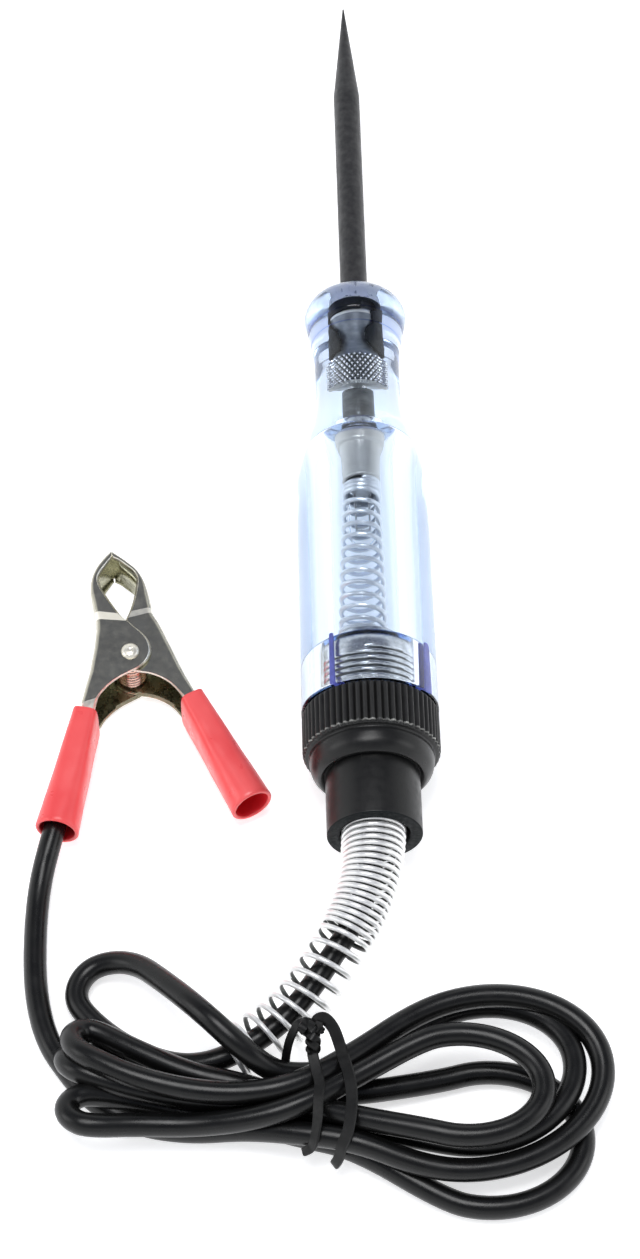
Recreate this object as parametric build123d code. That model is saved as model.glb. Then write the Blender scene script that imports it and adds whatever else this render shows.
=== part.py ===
"""Circuit test light: pointed probe, clear screw-on handle with a bulb and contact spring inside,
knurled cap with a sprung cord exit, and a tied-up cord that ends in a spring clip.

Millimetres. The tester lies on its side along Y with the probe's tip at +Y. Z is up, and the
origin is on the floor under the middle of the tester. The clip and the cord lie beside it.
"""

from build123d import *
import os
from math import cos, pi, radians, sin, tan

ON_BASE = (Align.CENTER, Align.CENTER, Align.MIN)

# Tester as a whole
TESTER_LENGTH = 159.7
TIP_Y = TESTER_LENGTH / 2
BOOT_END_Y = -TESTER_LENGTH / 2
BARREL_R = 9.8
AXIS_Z = BARREL_R

# Probe
PROBE_R = 2.1
PROBE_SHANK_R = 1.9
PROBE_CONE = 20.0
PROBE_TIP_R = 0.12

# Clear handle
FRONT_Y = 16.0
COLLAR_R = 8.05
NECK_R = 6.45
NECK_Y = (4.5, -4.3)
SHOULDER_END_Y = -21.5
BARREL_END_Y = -60.1
THREAD_BORE_R = 6.58
BARREL_BORE_R = 6.2
BULB_BORE_R = 4.5
CONTACT_BORE_R = 2.6
CONTACT_CAVITY_Y = -3.9
BULB_CAVITY_Y = -11.8
BORE_STEP = 1.0
BORE_SLOT_WIDTH = 1.1
BORE_SLOT_Y = (-50.4, -59.4)
BORE_SLOT_REACH = 7.6
BORE_SLOT_ANGLES = (-33, 57, 147, 237)

# Metal held in the collar
INSERT_R = 3.0
INSERT_Y = (2.7, -3.8)
WAIST_R = 1.3
WAIST_Y = 6.4
STEM_SHOULDER_R = 2.15
STEM_SHOULDER_Y = (11.5, 10.8)
SEAL_R = 2.75
SEAL_Y = (13.9, 3.6)
CONTACT_R = 2.25
CONTACT_END_Y = -10.7

# Bulb
BULB_TIP_R = 1.55
BULB_TIP_END_Y = -12.1
BULB_FLANGE_R = 3.7
BULB_FLANGE_Y = (-12.9, -16.9)
BULB_SHELL_R = 2.85
BULB_SHELL_END_Y = -20.9
BULB_GLASS_R = 2.25
BULB_GLASS_END_Y = -32.0
SHEET = 0.35

# Contact spring, and the terminal that it stands on
SPRING_WIRE = 0.7
SPRING_TOP_R = 2.75
SPRING_END_R = 3.3
SPRING_END_Y = -49.0
SPRING_PITCH = 2.1
TERMINAL_FLANGE_R = 4.2
TERMINAL_FLANGE_Y = -50.6
TERMINAL_BARREL_R = 3.4
TERMINAL_BARREL_Y = -56.0
TERMINAL_STEM_R = 1.5
TERMINAL_STEM_Y = -63.0

# Threaded sleeve
SLEEVE_R = 6.5
SLEEVE_BORE_R = 5.2
SLEEVE_Y = (-51.1, -66.0)
THREAD_START_Y = -54.0
THREAD_PITCH = 1.0
THREAD_DEPTH = 0.45
THREAD_RINGS = 6

# Knurled cap
RING_R = 9.75
RING_ROOT_R = 9.35
RING_Y = (-60.25, -67.2)
RING_CHAMFER = 0.5
RIB_COUNT = 60
SHOULDER_R = 8.75
BOOT_R = 6.65
BOOT_Y = -71.9
BOOT_BORE_R = 4.95
BOOT_FLOOR_Y = -74.5
GLAND_Y = -70.5
CAP_CHAMBER_R = 4.2
CLEARANCE = 0.03

# Cord
CORD_R = 1.6
CORD_FLOOR_Z = 1.65
CONDUCTOR_R = 0.75
BEND_SHARE = 0.45
RELIEF_COIL_R = 3.8
RELIEF_BORE_R = 3.0

# From the cap's gland, through the strain relief, round the first loop, over the strain
# relief's end and into the tied bundle.
LEAD_ROUTE = [
    (0, -71.2, AXIS_Z),
    (0.1, -81.5, 9.75),
    (-2.0, -90.2, 8.6),
    (-7.0, -98.0, 6.6),
    (-12.6, -105.2, 4.8),
    (-20.4, -110.2, 3.9),
    (-26.6, -110.9, 2.6),
    (-33.4, -107.9, CORD_FLOOR_Z),
    (-38.6, -103.9, CORD_FLOOR_Z),
    (-41.9, -99.6, CORD_FLOOR_Z),
    (-39.6, -94.9, 1.8),
    (-33.6, -95.0, 3.6),
    (-28.4, -101.0, 7.6),
    (-23.6, -106.8, 12.2),
    (-18.4, -112.2, 12.2),
    (-14.5, -113.0, 8.8),
]
RELIEF_POINTS = 6
RELIEF_START_Y = BOOT_FLOOR_Y - 0.1

# From under the bundle's left end to the clip's fixed handle.
CLIP_ROUTE = [
    (-41.9, -111.1, CORD_FLOOR_Z),
    (-45.2, -105.9, CORD_FLOOR_Z),
    (-46.9, -98.6, CORD_FLOOR_Z),
    (-47.2, -89.5, CORD_FLOOR_Z),
    (-46.7, -81.6, 1.9),
    (-44.9, -75.4, 4.5),
    (-43.3, -68.6, 4.5),
]

# Tied bundle of cord
BUNDLE_LOW_Z = 6.2
BUNDLE_TOP_Z = 9.6
PINCH_X = (-13.4, -2.6)
PINCH_Y = (-124.6, -110.7)
PINCH_BOTTOM_Z = 1.2
TIE_THICKNESS = 0.9
TIE_WIDTH = 1.7
TIE_X = (-9.7, -5.5)

# Spring clip, lying on its side
PLATE = 0.6
CLIP_Z = 4.55
FIXED_HALF = 4.1
MOVING_HALF = 3.45
HEAD_HALF = 3.35
JAW_GAP = 0.06
PIVOT = (-34.2, -47.7)
PIN_R = 1.0
PIN_HOLE_R = 1.05
PIN_HEAD_R = 1.3
PIN_HEAD = 0.4
VINYL = 0.6
SLEEVE_THROAT = (3.8, 8.7, 1.4)
SLEEVE_MOUTH = (6.4, 6.4, 3.1)
FIXED_SLEEVE = ((-40.55, -57.1), (-44.35, -75.0))
MOVING_SLEEVE = ((-25.3, -54.9), (-16.9, -71.5))
TONGUE_WIDTH = 1.9
TONGUE_HALF = 2.9
TONGUE_LENGTH = 7.0
TONGUE_ROOT = 1.5
FIXED_TONGUE_SIDE = 0.26
MOVING_TONGUE_SIDE = -0.18
CRIMP_END = (-41.8, -62.8, 4.55)
CRIMP_LENGTH = 3.5
CRIMP_WALL = 0.45


def on_axis(shape):
    """Lift a shape from the Y axis to the tester's own axis."""
    return Pos(0, 0, AXIS_Z) * shape


def turned(*edges):
    """Solid of revolution on the tester's axis. Edges lie in the XY plane as (radius, y)."""
    return on_axis(revolve(make_face(Curve() + list(edges)), Axis.Y))


def turned_outline(*points):
    """Solid of revolution from straight runs given as (radius, y)."""
    return turned(Polyline(*points, close=True))


def ring(outer_r, inner_r, y_front, y_back):
    """Plain tube on the tester's axis, or a rod where the inner radius is 0."""
    return turned_outline(
        (inner_r, y_front), (outer_r, y_front), (outer_r, y_back), (inner_r, y_back)
    )


def probe_rod():
    cone_y = TIP_Y - PROBE_CONE
    return turned_outline(
        (0, INSERT_Y[0] + 0.4),
        (WAIST_R, INSERT_Y[0] + 0.4),
        (WAIST_R, WAIST_Y),
        (STEM_SHOULDER_R, STEM_SHOULDER_Y[1]),
        (STEM_SHOULDER_R, STEM_SHOULDER_Y[0]),
        (PROBE_SHANK_R, STEM_SHOULDER_Y[0] + 0.3),
        (PROBE_SHANK_R, FRONT_Y + 0.05),
        (PROBE_R, FRONT_Y + 0.05),
        (PROBE_R, cone_y),
        (PROBE_TIP_R, TIP_Y),
        (0, TIP_Y),
    )


def knurled_insert():
    return turned_outline(
        (0, INSERT_Y[1]),
        (INSERT_R - 0.4, INSERT_Y[1]),
        (INSERT_R, INSERT_Y[1] + 0.5),
        (INSERT_R, INSERT_Y[0] - 0.8),
        (WAIST_R, INSERT_Y[0] + 0.35),
        (0, INSERT_Y[0] + 0.35),
    )


def probe_seal():
    """Dark sealing bush round the waist of the probe, broken open on top."""
    gap = 0.05
    bush = turned_outline(
        (WAIST_R + gap, SEAL_Y[1]),
        (SEAL_R, SEAL_Y[1]),
        (SEAL_R, SEAL_Y[0]),
        (PROBE_SHANK_R + gap, SEAL_Y[0]),
        (PROBE_SHANK_R + gap, STEM_SHOULDER_Y[0] + 0.3 + gap),
        (STEM_SHOULDER_R + gap, STEM_SHOULDER_Y[0]),
        (STEM_SHOULDER_R + gap, STEM_SHOULDER_Y[1]),
        (WAIST_R + gap, WAIST_Y),
    )
    window_y = (SEAL_Y[1] + 1.5, STEM_SHOULDER_Y[0])
    window = Pos(0, sum(window_y) / 2, AXIS_Z + SEAL_R)
    return bush - window * Box(2 * SEAL_R, window_y[1] - window_y[0], 2 * SEAL_R - 0.4)


def probe_contact():
    return turned_outline(
        (0, INSERT_Y[1] - 0.05),
        (CONTACT_R - 0.3, INSERT_Y[1] - 0.05),
        (CONTACT_R, INSERT_Y[1] - 1.2),
        (CONTACT_R, CONTACT_END_Y + 0.5),
        (CONTACT_R - 0.5, CONTACT_END_Y + 0.05),
        (0, CONTACT_END_Y + 0.05),
    )


def handle_outside():
    """Edges of the handle's outer wall, from the probe's hole to the open end."""
    step = 0.12
    flare = Polyline(
        (COLLAR_R, 12.3),
        (7.35, 9.3),
        (7.35 - step, 9.3),
        (6.85, 6.8),
        (6.85 - step, 6.8),
        (NECK_R, NECK_Y[0]),
        (NECK_R, NECK_Y[1]),
    )
    shoulder = Spline(
        (NECK_R, NECK_Y[1]),
        (BARREL_R, SHOULDER_END_Y),
        tangents=[(0, -1), (0, -1)],
        tangent_scalars=[1.0, 1.2],
    )
    return [
        Line((PROBE_SHANK_R + CLEARANCE, FRONT_Y), (COLLAR_R - 3.4, FRONT_Y)),
        ThreePointArc(
            (COLLAR_R - 3.4, FRONT_Y), (COLLAR_R - 0.95, FRONT_Y - 1.1), (COLLAR_R, 12.3)
        ),
        flare,
        shoulder,
        Line((BARREL_R, SHOULDER_END_Y), (BARREL_R, BARREL_END_Y)),
    ]


def handle_inside():
    """Edges of the bore, from the open end to the probe's hole."""
    bore_end_y = SLEEVE_Y[0] + BORE_STEP
    return [
        Polyline(
            (BARREL_R, BARREL_END_Y),
            (THREAD_BORE_R, BARREL_END_Y),
            (THREAD_BORE_R, bore_end_y),
            (BARREL_BORE_R, bore_end_y + BORE_STEP),
            (BARREL_BORE_R, SHOULDER_END_Y - 1.0),
            (BULB_BORE_R, BULB_FLANGE_Y[1] - 1.0),
            (BULB_BORE_R, BULB_CAVITY_Y),
            (CONTACT_BORE_R, BULB_CAVITY_Y),
            (CONTACT_BORE_R, CONTACT_CAVITY_Y),
            (INSERT_R + CLEARANCE, CONTACT_CAVITY_Y),
            (INSERT_R + CLEARANCE, INSERT_Y[0] + 0.5),
            (SEAL_R + CLEARANCE, INSERT_Y[0] + 0.5),
            (SEAL_R + CLEARANCE, SEAL_Y[0]),
            (PROBE_SHANK_R + CLEARANCE, SEAL_Y[0]),
            (PROBE_SHANK_R + CLEARANCE, FRONT_Y),
        )
    ]


def handle_body():
    """Handle with four closed slots in the wall of its mouth."""
    body = turned(*handle_outside(), *handle_inside())
    length = BORE_SLOT_Y[0] - BORE_SLOT_Y[1]
    depth = BORE_SLOT_REACH - THREAD_BORE_R + 0.5
    outline = Rot(0, 0, 90) * SlotOverall(length, BORE_SLOT_WIDTH)
    slot = Pos(0, sum(BORE_SLOT_Y) / 2, BORE_SLOT_REACH - depth) * extrude(outline, depth)
    for angle in BORE_SLOT_ANGLES:
        body -= on_axis(Rot(0, angle, 0) * slot)
    return body


def bulb_tip():
    return ring(BULB_TIP_R, 0, CONTACT_END_Y, BULB_TIP_END_Y)


def bulb_insulator():
    return turned_outline(
        (0, BULB_TIP_END_Y),
        (BULB_TIP_R + 0.6, BULB_TIP_END_Y),
        (BULB_TIP_R + 1.0, BULB_FLANGE_Y[0] - SHEET),
        (0, BULB_FLANGE_Y[0] - SHEET),
    )


def bulb_base():
    """Thin metal shell with a wide flange at its front."""
    inner_r = BULB_SHELL_R - SHEET
    hole_r = BULB_TIP_R + 1.0 + CLEARANCE
    return turned_outline(
        (hole_r, BULB_FLANGE_Y[0]),
        (BULB_FLANGE_R - 0.5, BULB_FLANGE_Y[0]),
        (BULB_FLANGE_R, BULB_FLANGE_Y[0] - 0.5),
        (BULB_FLANGE_R, BULB_FLANGE_Y[1] + 0.6),
        (BULB_SHELL_R, BULB_FLANGE_Y[1]),
        (BULB_SHELL_R, BULB_SHELL_END_Y),
        (inner_r, BULB_SHELL_END_Y),
        (inner_r, BULB_FLANGE_Y[0] - SHEET - 0.5),
        (hole_r, BULB_FLANGE_Y[0] - SHEET - 0.5),
    )


def bulb_glass():
    """Thin envelope with a rounded end, open into the shell."""
    top_y = BULB_SHELL_END_Y + 2.0
    round_y = BULB_GLASS_END_Y + BULB_GLASS_R
    inner_r = BULB_GLASS_R - SHEET
    outer_mid = (BULB_GLASS_R * cos(pi / 4), round_y - BULB_GLASS_R * sin(pi / 4))
    inner_mid = (inner_r * cos(pi / 4), round_y - inner_r * sin(pi / 4))
    return turned(
        Line((inner_r, top_y), (BULB_GLASS_R, top_y)),
        Line((BULB_GLASS_R, top_y), (BULB_GLASS_R, round_y)),
        ThreePointArc((BULB_GLASS_R, round_y), outer_mid, (0, BULB_GLASS_END_Y)),
        Line((0, BULB_GLASS_END_Y), (0, round_y - inner_r)),
        ThreePointArc((0, round_y - inner_r), inner_mid, (inner_r, round_y)),
        Line((inner_r, round_y), (inner_r, top_y)),
    )


def bulb_filament():
    """Two support wires and the filament between them, with a glass bead at their root."""
    wire_r = 0.16
    spread = 1.0
    length = 9.5
    post = Rot(90, 0, 0) * Cylinder(wire_r, length)
    middle_y = BULB_SHELL_END_Y - length / 2 + 1.0
    posts = Pos(spread, middle_y, 0) * post + Pos(-spread, middle_y, 0) * post
    filament_y = BULB_SHELL_END_Y - length + 1.0 + wire_r
    filament = Pos(0, filament_y, 0) * (Rot(0, 90, 0) * Cylinder(wire_r * 1.4, 2 * spread))
    bead = Pos(0, BULB_SHELL_END_Y - 1.0, 0) * (Rot(90, 0, 0) * Cylinder(1.4, 1.5))
    return on_axis(posts + filament + bead)


def contact_spring():
    """Compression spring that widens a little towards the cap."""
    start_y = BULB_SHELL_END_Y - SPRING_WIRE / 2 - 0.05
    height = start_y - SPRING_END_Y - SPRING_WIRE / 2 - 0.05
    widening = (SPRING_END_R - SPRING_TOP_R) / height
    coil = Helix(
        SPRING_PITCH, height, SPRING_TOP_R, direction=(0, -1, 0), cone_angle=widening * 180 / pi
    )
    coil = Pos(0, start_y, AXIS_Z) * coil
    section = Plane(origin=coil @ 0, z_dir=coil % 0) * Circle(SPRING_WIRE / 2)
    return sweep(section, path=coil, is_frenet=True)


def cord_terminal():
    """Turned terminal: the spring stands on its flange, and the cord is crimped in its stem."""
    bore_r = CONDUCTOR_R + CLEARANCE
    return turned_outline(
        (0, SPRING_END_Y),
        (TERMINAL_FLANGE_R, SPRING_END_Y),
        (TERMINAL_FLANGE_R, TERMINAL_FLANGE_Y),
        (TERMINAL_BARREL_R, TERMINAL_FLANGE_Y),
        (TERMINAL_BARREL_R, TERMINAL_BARREL_Y),
        (TERMINAL_STEM_R, TERMINAL_BARREL_Y),
        (TERMINAL_STEM_R, TERMINAL_STEM_Y),
        (bore_r, TERMINAL_STEM_Y),
        (bore_r, TERMINAL_BARREL_Y - 1.0),
        (0, TERMINAL_BARREL_Y - 1.0),
    )


def terminal_insulator():
    return turned_outline(
        (TERMINAL_BARREL_R + CLEARANCE, TERMINAL_FLANGE_Y - CLEARANCE),
        (SLEEVE_BORE_R - CLEARANCE, TERMINAL_FLANGE_Y - CLEARANCE),
        (SLEEVE_BORE_R - CLEARANCE, TERMINAL_STEM_Y + 1.0),
        (TERMINAL_STEM_R + CLEARANCE, TERMINAL_STEM_Y + 1.0),
        (TERMINAL_STEM_R + CLEARANCE, TERMINAL_BARREL_Y - CLEARANCE),
        (TERMINAL_BARREL_R + CLEARANCE, TERMINAL_BARREL_Y - CLEARANCE),
    )


def threaded_sleeve():
    """Metal sleeve: plain at the front, threaded as far as the cap."""
    crest = THREAD_PITCH / 4
    outline = [(SLEEVE_BORE_R, SLEEVE_Y[0]), (SLEEVE_R - 0.3, SLEEVE_Y[0])]
    outline.append((SLEEVE_R, SLEEVE_Y[0] - 0.3))
    for turn in range(THREAD_RINGS):
        groove_y = THREAD_START_Y - turn * THREAD_PITCH
        outline.append((SLEEVE_R, groove_y))
        outline.append((SLEEVE_R - THREAD_DEPTH, groove_y - THREAD_PITCH / 2 + crest / 2))
        outline.append((SLEEVE_R, groove_y - THREAD_PITCH + crest))
    outline += [(SLEEVE_R, SLEEVE_Y[1]), (SLEEVE_BORE_R, SLEEVE_Y[1])]
    return turned_outline(*outline)


def knurl():
    """Ribs round the ring, cut off at a chamfer front and back."""
    step = 2 * pi / RIB_COUNT
    points = []
    for rib in range(RIB_COUNT):
        for share, radius in ((0.0, RING_ROOT_R), (0.3, RING_R), (0.7, RING_R)):
            angle = (rib + share) * step
            points.append((radius * cos(angle), radius * sin(angle)))
    sketch = Plane.XZ.offset(-RING_Y[0]) * make_face(Polyline(*points, close=True))
    ribs = on_axis(extrude(sketch, amount=RING_Y[0] - RING_Y[1]))
    envelope = turned_outline(
        (RING_ROOT_R - 1, RING_Y[0]),
        (RING_R - RING_CHAMFER, RING_Y[0]),
        (RING_R, RING_Y[0] - RING_CHAMFER),
        (RING_R, RING_Y[1] + RING_CHAMFER),
        (RING_R - RING_CHAMFER, RING_Y[1]),
        (RING_ROOT_R - 1, RING_Y[1]),
    )
    return ribs & envelope


def knurled_cap():
    """One moulding: ribbed ring, rounded shoulder and boot, with the sleeve's socket inside."""
    socket_r = SLEEVE_R + CLEARANCE
    socket_y = SLEEVE_Y[1] - 0.2
    gland_r = CORD_R + CLEARANCE
    inside = Polyline(
        (BOOT_R, BOOT_END_Y),
        (BOOT_BORE_R, BOOT_END_Y),
        (BOOT_BORE_R, BOOT_FLOOR_Y),
        (gland_r, BOOT_FLOOR_Y),
        (gland_r, GLAND_Y),
        (CAP_CHAMBER_R, GLAND_Y),
        (CAP_CHAMBER_R, socket_y),
        (socket_r, socket_y),
        (socket_r, RING_Y[0]),
        (RING_ROOT_R - 0.2, RING_Y[0]),
    )
    root_r = RING_ROOT_R - 0.2
    body = turned(
        inside,
        Polyline((root_r, RING_Y[0]), (root_r, RING_Y[1]), (SHOULDER_R, RING_Y[1])),
        ThreePointArc((SHOULDER_R, RING_Y[1]), (BOOT_R + 1.45, BOOT_Y + 1.7), (BOOT_R, BOOT_Y)),
        Line((BOOT_R, BOOT_Y), (BOOT_R, BOOT_END_Y)),
    )
    return body + knurl()


def rounded_path(points):
    """Straight runs joined by tangent arcs as large as the runs allow, with the arcs' radii."""
    corners = [Vector(*point) for point in points]
    radii = []
    for before, corner, after in zip(corners, corners[1:], corners[2:]):
        run_in = corner - before
        run_out = after - corner
        half_turn = radians(run_in.get_angle(run_out)) / 2
        radii.append(BEND_SHARE * min(run_in.length, run_out.length) / tan(half_turn))
    return FilletPolyline(*corners, radius=radii), radii


def tube(name, points, outer_r, inner_r=0.0):
    """Round tube along a path, with its radii and volume printed for a check."""
    path, radii = rounded_path(points)
    section = Circle(outer_r)
    if inner_r:
        section -= Circle(inner_r)
    start = Vector(*points[0])
    solid = sweep(Plane(origin=start, z_dir=Vector(*points[1]) - start) * section, path=path)
    print(name, "length", round(path.length, 1), "radii", [round(radius, 1) for radius in radii])
    print(name, "volume over section times length", round(solid.volume / section.area / path.length, 4))
    return solid


def strain_relief_spring():
    """Outer shape of the spring that the cord leaves the cap through."""
    start = (0, RELIEF_START_Y, AXIS_Z)
    return tube("relief", [start] + LEAD_ROUTE[1:RELIEF_POINTS], RELIEF_COIL_R, RELIEF_BORE_R)


def prism(points, bottom, top):
    """Upright solid with a closed plan outline."""
    sketch = make_face(Polyline(*points, close=True))
    return extrude(Pos(0, 0, bottom) * sketch, amount=top - bottom)


def smooth_prism(points, bottom, top):
    """Upright solid with a smooth closed plan outline."""
    sketch = make_face(Spline(*points, periodic=True))
    return extrude(Pos(0, 0, bottom) * sketch, amount=top - bottom)


def cord_hank():
    """Outer shape of the tied bundle: folds on the left, the tied pinch, and loops on the right."""
    (left_x, right_x), (low_y, high_y) = PINCH_X, PINCH_Y
    pinch = prism(
        [(left_x, low_y), (right_x, low_y), (right_x, high_y), (left_x, high_y)],
        PINCH_BOTTOM_Z,
        BUNDLE_TOP_Z,
    )
    folds = prism(
        [
            (PINCH_X[0], -113.9),
            (-22.5, -113.9),
            (-27.2, -113.0),
            (-34.3, -109.9),
            (-38.5, -109.02),
            (-44.4, -112.77),
            (-43.0, -118.2),
            (-39.0, -121.2),
            (-28.0, -121.6),
            (PINCH_X[0], -122.4),
        ],
        0,
        BUNDLE_LOW_Z,
    )
    loops = smooth_prism(
        [
            (-1.2, -108.0),
            (10.0, -101.8),
            (22.5, -101.3),
            (31.0, -112.5),
            (27.4, -127.5),
            (16.5, -133.2),
            (-1.0, -127.6),
            (-2.6, -117.5),
        ],
        0,
        BUNDLE_TOP_Z,
    )
    eye = smooth_prism([(3.0, -117.5), (10.5, -113.2), (17.6, -115.0), (14.0, -120.2)], -1, 20)
    return pinch + folds + loops - eye


def cord_tie():
    """Two turns of a flat tie round the pinch, with its ends twisted together."""
    low_y, high_y = PINCH_Y
    gap = 0.05
    tie = None
    for x in TIE_X:
        middle = Pos(x, (low_y + high_y) / 2, (PINCH_BOTTOM_Z + BUNDLE_TOP_Z) / 2)
        wide = high_y - low_y + 2 * gap
        tall = BUNDLE_TOP_Z - PINCH_BOTTOM_Z + 2 * gap
        extra = 2 * TIE_THICKNESS
        turn = Box(TIE_WIDTH, wide + extra, tall + extra) - Box(9, wide, tall)
        tie = middle * turn if tie is None else tie + middle * turn
    knot_z = BUNDLE_TOP_Z + gap + TIE_THICKNESS + 0.5
    bridge = Box(TIE_X[1] - TIE_X[0], 2.2, 1.8, align=(Align.MIN, Align.CENTER, Align.CENTER))
    tie += Pos(TIE_X[0], high_y - 1.0, knot_z - 0.1) * bridge
    tail = Rot(90, 0, 0) * Cylinder(0.8, 6.0)
    return tie + Pos(sum(TIE_X) / 2, high_y + 1.6, knot_z) * tail


# Plan outlines of the clip. The head is the part in front of the crease, the body is behind it.
TIP = (-37.05, -29.9)
HOLE_TOP = (-37.05, -31.0)
CREASE_MIDDLE = (-35.4, -42.5)
FIXED_EDGE = [(-39.4, -32.3), (-40.2, -36.3), (-39.7, -39.9), (-39.4, -42.4)]
FIXED_BODY_EDGE = [(-39.4, -42.4), (-39.6, -48.1), (-40.2, -52.3), (-41.2, -56.6)]
FIXED_HANDLE_INNER = [(-39.3, -57.0), (-39.0, -56.2), (-37.6, -54.1), (-34.1, -51.5)]
SEAM = [(-31.8, -50.0), (-31.0, -48.3), (-31.4, -46.2), (-33.0, -44.3)]
MOVING_EDGE = [(-34.3, -32.0), (-32.5, -34.6), (-31.3, -40.1), (-31.0, -40.8)]
MOVING_BODY_EDGE = [(-31.0, -40.8), (-28.3, -47.3), (-24.8, -54.3)]
MOVING_HANDLE_INNER = [(-26.4, -55.1), (-26.8, -54.0), (-30.0, -52.2), (-34.1, -51.2)]
MOVING_EAR = [(-37.0, -49.2), (-37.4, -46.8), (-36.2, -44.6)]
HOLE_FIXED_SIDE = [(-35.1, -42.0), (-38.9, -34.6), HOLE_TOP]
HOLE_MOVING_SIDE = [(-35.1, -42.0), (-33.9, -38.9), (-33.7, -34.9), HOLE_TOP]


def moved(points, dx, dy=0.0):
    return [(x + dx, y + dy) for x, y in points]


def plan_solid(points, half_height):
    return prism(points, CLIP_Z - half_height, CLIP_Z + half_height)


def channel(outline, half_height, shift):
    """Folded sheet: top and bottom plates joined by a wall on the side away from the shift."""
    return plan_solid(outline, half_height) - plan_solid(moved(outline, *shift), half_height - PLATE)


def pin_hole():
    return Pos(*PIVOT, CLIP_Z) * Cylinder(PIN_HOLE_R, 4 * FIXED_HALF)


def tongue(ends, side, wall_side):
    """Channel-shaped end of a handle, inside its sleeve, set off a little to one side."""
    (x0, y0), (x1, y1) = ends
    direction = Vector(x1 - x0, y1 - y0).normalized()
    start = Vector(x0, y0) - direction * TONGUE_ROOT
    frame = Plane(
        origin=(start.X, start.Y, CLIP_Z), x_dir=(direction.X, direction.Y, 0), z_dir=(0, 0, 1)
    )
    at_root = (Align.MIN, Align.CENTER, Align.CENTER)
    outer = Box(TONGUE_LENGTH, TONGUE_WIDTH, 2 * TONGUE_HALF, align=at_root)
    hollow = Box(TONGUE_LENGTH, TONGUE_WIDTH, 2 * (TONGUE_HALF - PLATE), align=at_root)
    return frame * Pos(0, side, 0) * (outer - Pos(0, -wall_side * PLATE, 0) * hollow)


def clip_fixed_jaw():
    """Left half of the clip: its plates lie outside the other half's round the pivot."""
    head = [(TIP[0] - JAW_GAP, TIP[1])] + FIXED_EDGE + [CREASE_MIDDLE] + moved(HOLE_FIXED_SIDE, -JAW_GAP)
    body = FIXED_BODY_EDGE + FIXED_HANDLE_INNER + SEAM + [CREASE_MIDDLE]
    head_channel = channel(head, HEAD_HALF, (PLATE, -0.15))
    body_channel = channel(body, FIXED_HALF, (PLATE, 0.1))
    riser_end = (CREASE_MIDDLE[0] - 0.5, CREASE_MIDDLE[1])
    riser = [FIXED_EDGE[-1], riser_end] + moved([riser_end, FIXED_EDGE[-1]], 0, -PLATE)
    step = plan_solid(riser, FIXED_HALF) - plan_solid(moved(riser, PLATE), HEAD_HALF - PLATE)
    jaw = head_channel + body_channel + step - pin_hole()
    return jaw + tongue(FIXED_SLEEVE, FIXED_TONGUE_SIDE, -1)


def clip_moving_jaw():
    """Right half of the clip: it turns on the pin, between the other half's plates."""
    crease_end = (CREASE_MIDDLE[0] + 0.4, CREASE_MIDDLE[1] - 0.1)
    head = [(TIP[0] + JAW_GAP, TIP[1])] + MOVING_EDGE + [crease_end] + moved(HOLE_MOVING_SIDE, JAW_GAP)
    body = MOVING_BODY_EDGE + MOVING_HANDLE_INNER + MOVING_EAR + [crease_end]
    head_channel = channel(head, HEAD_HALF, (-PLATE, -0.25))
    body_channel = channel(body, MOVING_HALF, (-PLATE, -0.25))
    jaw = head_channel + body_channel - pin_hole()
    return jaw + tongue(MOVING_SLEEVE, MOVING_TONGUE_SIDE, 1)


def clip_rivet_pin():
    shank = Pos(*PIVOT, CLIP_Z) * Cylinder(PIN_R, 2 * FIXED_HALF)
    head = Cylinder(PIN_HEAD_R, PIN_HEAD)
    for side in (1, -1):
        shank += Pos(*PIVOT, CLIP_Z + side * (FIXED_HALF + PIN_HEAD / 2)) * head
    return shank


def clip_spring():
    """Torsion spring round the pin, as its outer shape, with a leg towards each handle."""
    coil = Pos(*PIVOT, CLIP_Z) * (Cylinder(1.95, 4.4) - Cylinder(1.25, 5))
    legs = []
    for angle, z in ((-30, 1.9), (-123, -1.9)):
        leg = Pos(4.3, 0, z) * (Rot(0, 90, 0) * Cylinder(0.25, 5.4))
        legs.append(Pos(*PIVOT, CLIP_Z) * (Rot(0, 0, angle) * leg))
    return coil + legs[0] + legs[1]


def vinyl_sleeve(ends):
    """Soft sleeve: a flat throat over the handle, opening to a round mouth."""
    (x0, y0), (x1, y1) = ends
    direction = Vector(x1 - x0, y1 - y0, 0).normalized()
    across = Vector(-direction.Y, direction.X, 0)
    throat_frame = Plane(origin=(x0, y0, CLIP_Z), x_dir=across, z_dir=direction)
    mouth_frame = Plane(origin=(x1, y1, CLIP_Z), x_dir=across, z_dir=direction)
    solids = []
    for wall in (0, VINYL):
        sections = []
        for frame, (wide, tall, corner) in ((throat_frame, SLEEVE_THROAT), (mouth_frame, SLEEVE_MOUTH)):
            shape = RectangleRounded(wide - 2 * wall, tall - 2 * wall, corner - wall)
            sections.append(frame * shape)
        solids.append(loft(sections))
    return solids[0] - solids[1]


def crimp_frame():
    """Plane at the crimp's front end, facing the cord."""
    end = Vector(*CRIMP_END)
    return Plane(origin=end, z_dir=Vector(*CLIP_ROUTE[-1]) - end)


def clip_conductor():
    """Bare strands from the cord's end into the crimp on the fixed handle."""
    length = (Vector(*CLIP_ROUTE[-1]) - Vector(*CRIMP_END)).length
    return crimp_frame() * Cylinder(CONDUCTOR_R, length, align=ON_BASE)


def clip_lead_crimp():
    """Folded tab that grips the strands inside the fixed sleeve."""
    outer = Cylinder(CONDUCTOR_R + CRIMP_WALL, CRIMP_LENGTH, align=ON_BASE)
    bore = Cylinder(CONDUCTOR_R + CLEARANCE, CRIMP_LENGTH, align=ON_BASE)
    return crimp_frame() * (outer - bore)


def cord_conductor():
    return ring(CONDUCTOR_R, 0, TERMINAL_BARREL_Y - 1.2, LEAD_ROUTE[0][1])


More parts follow.
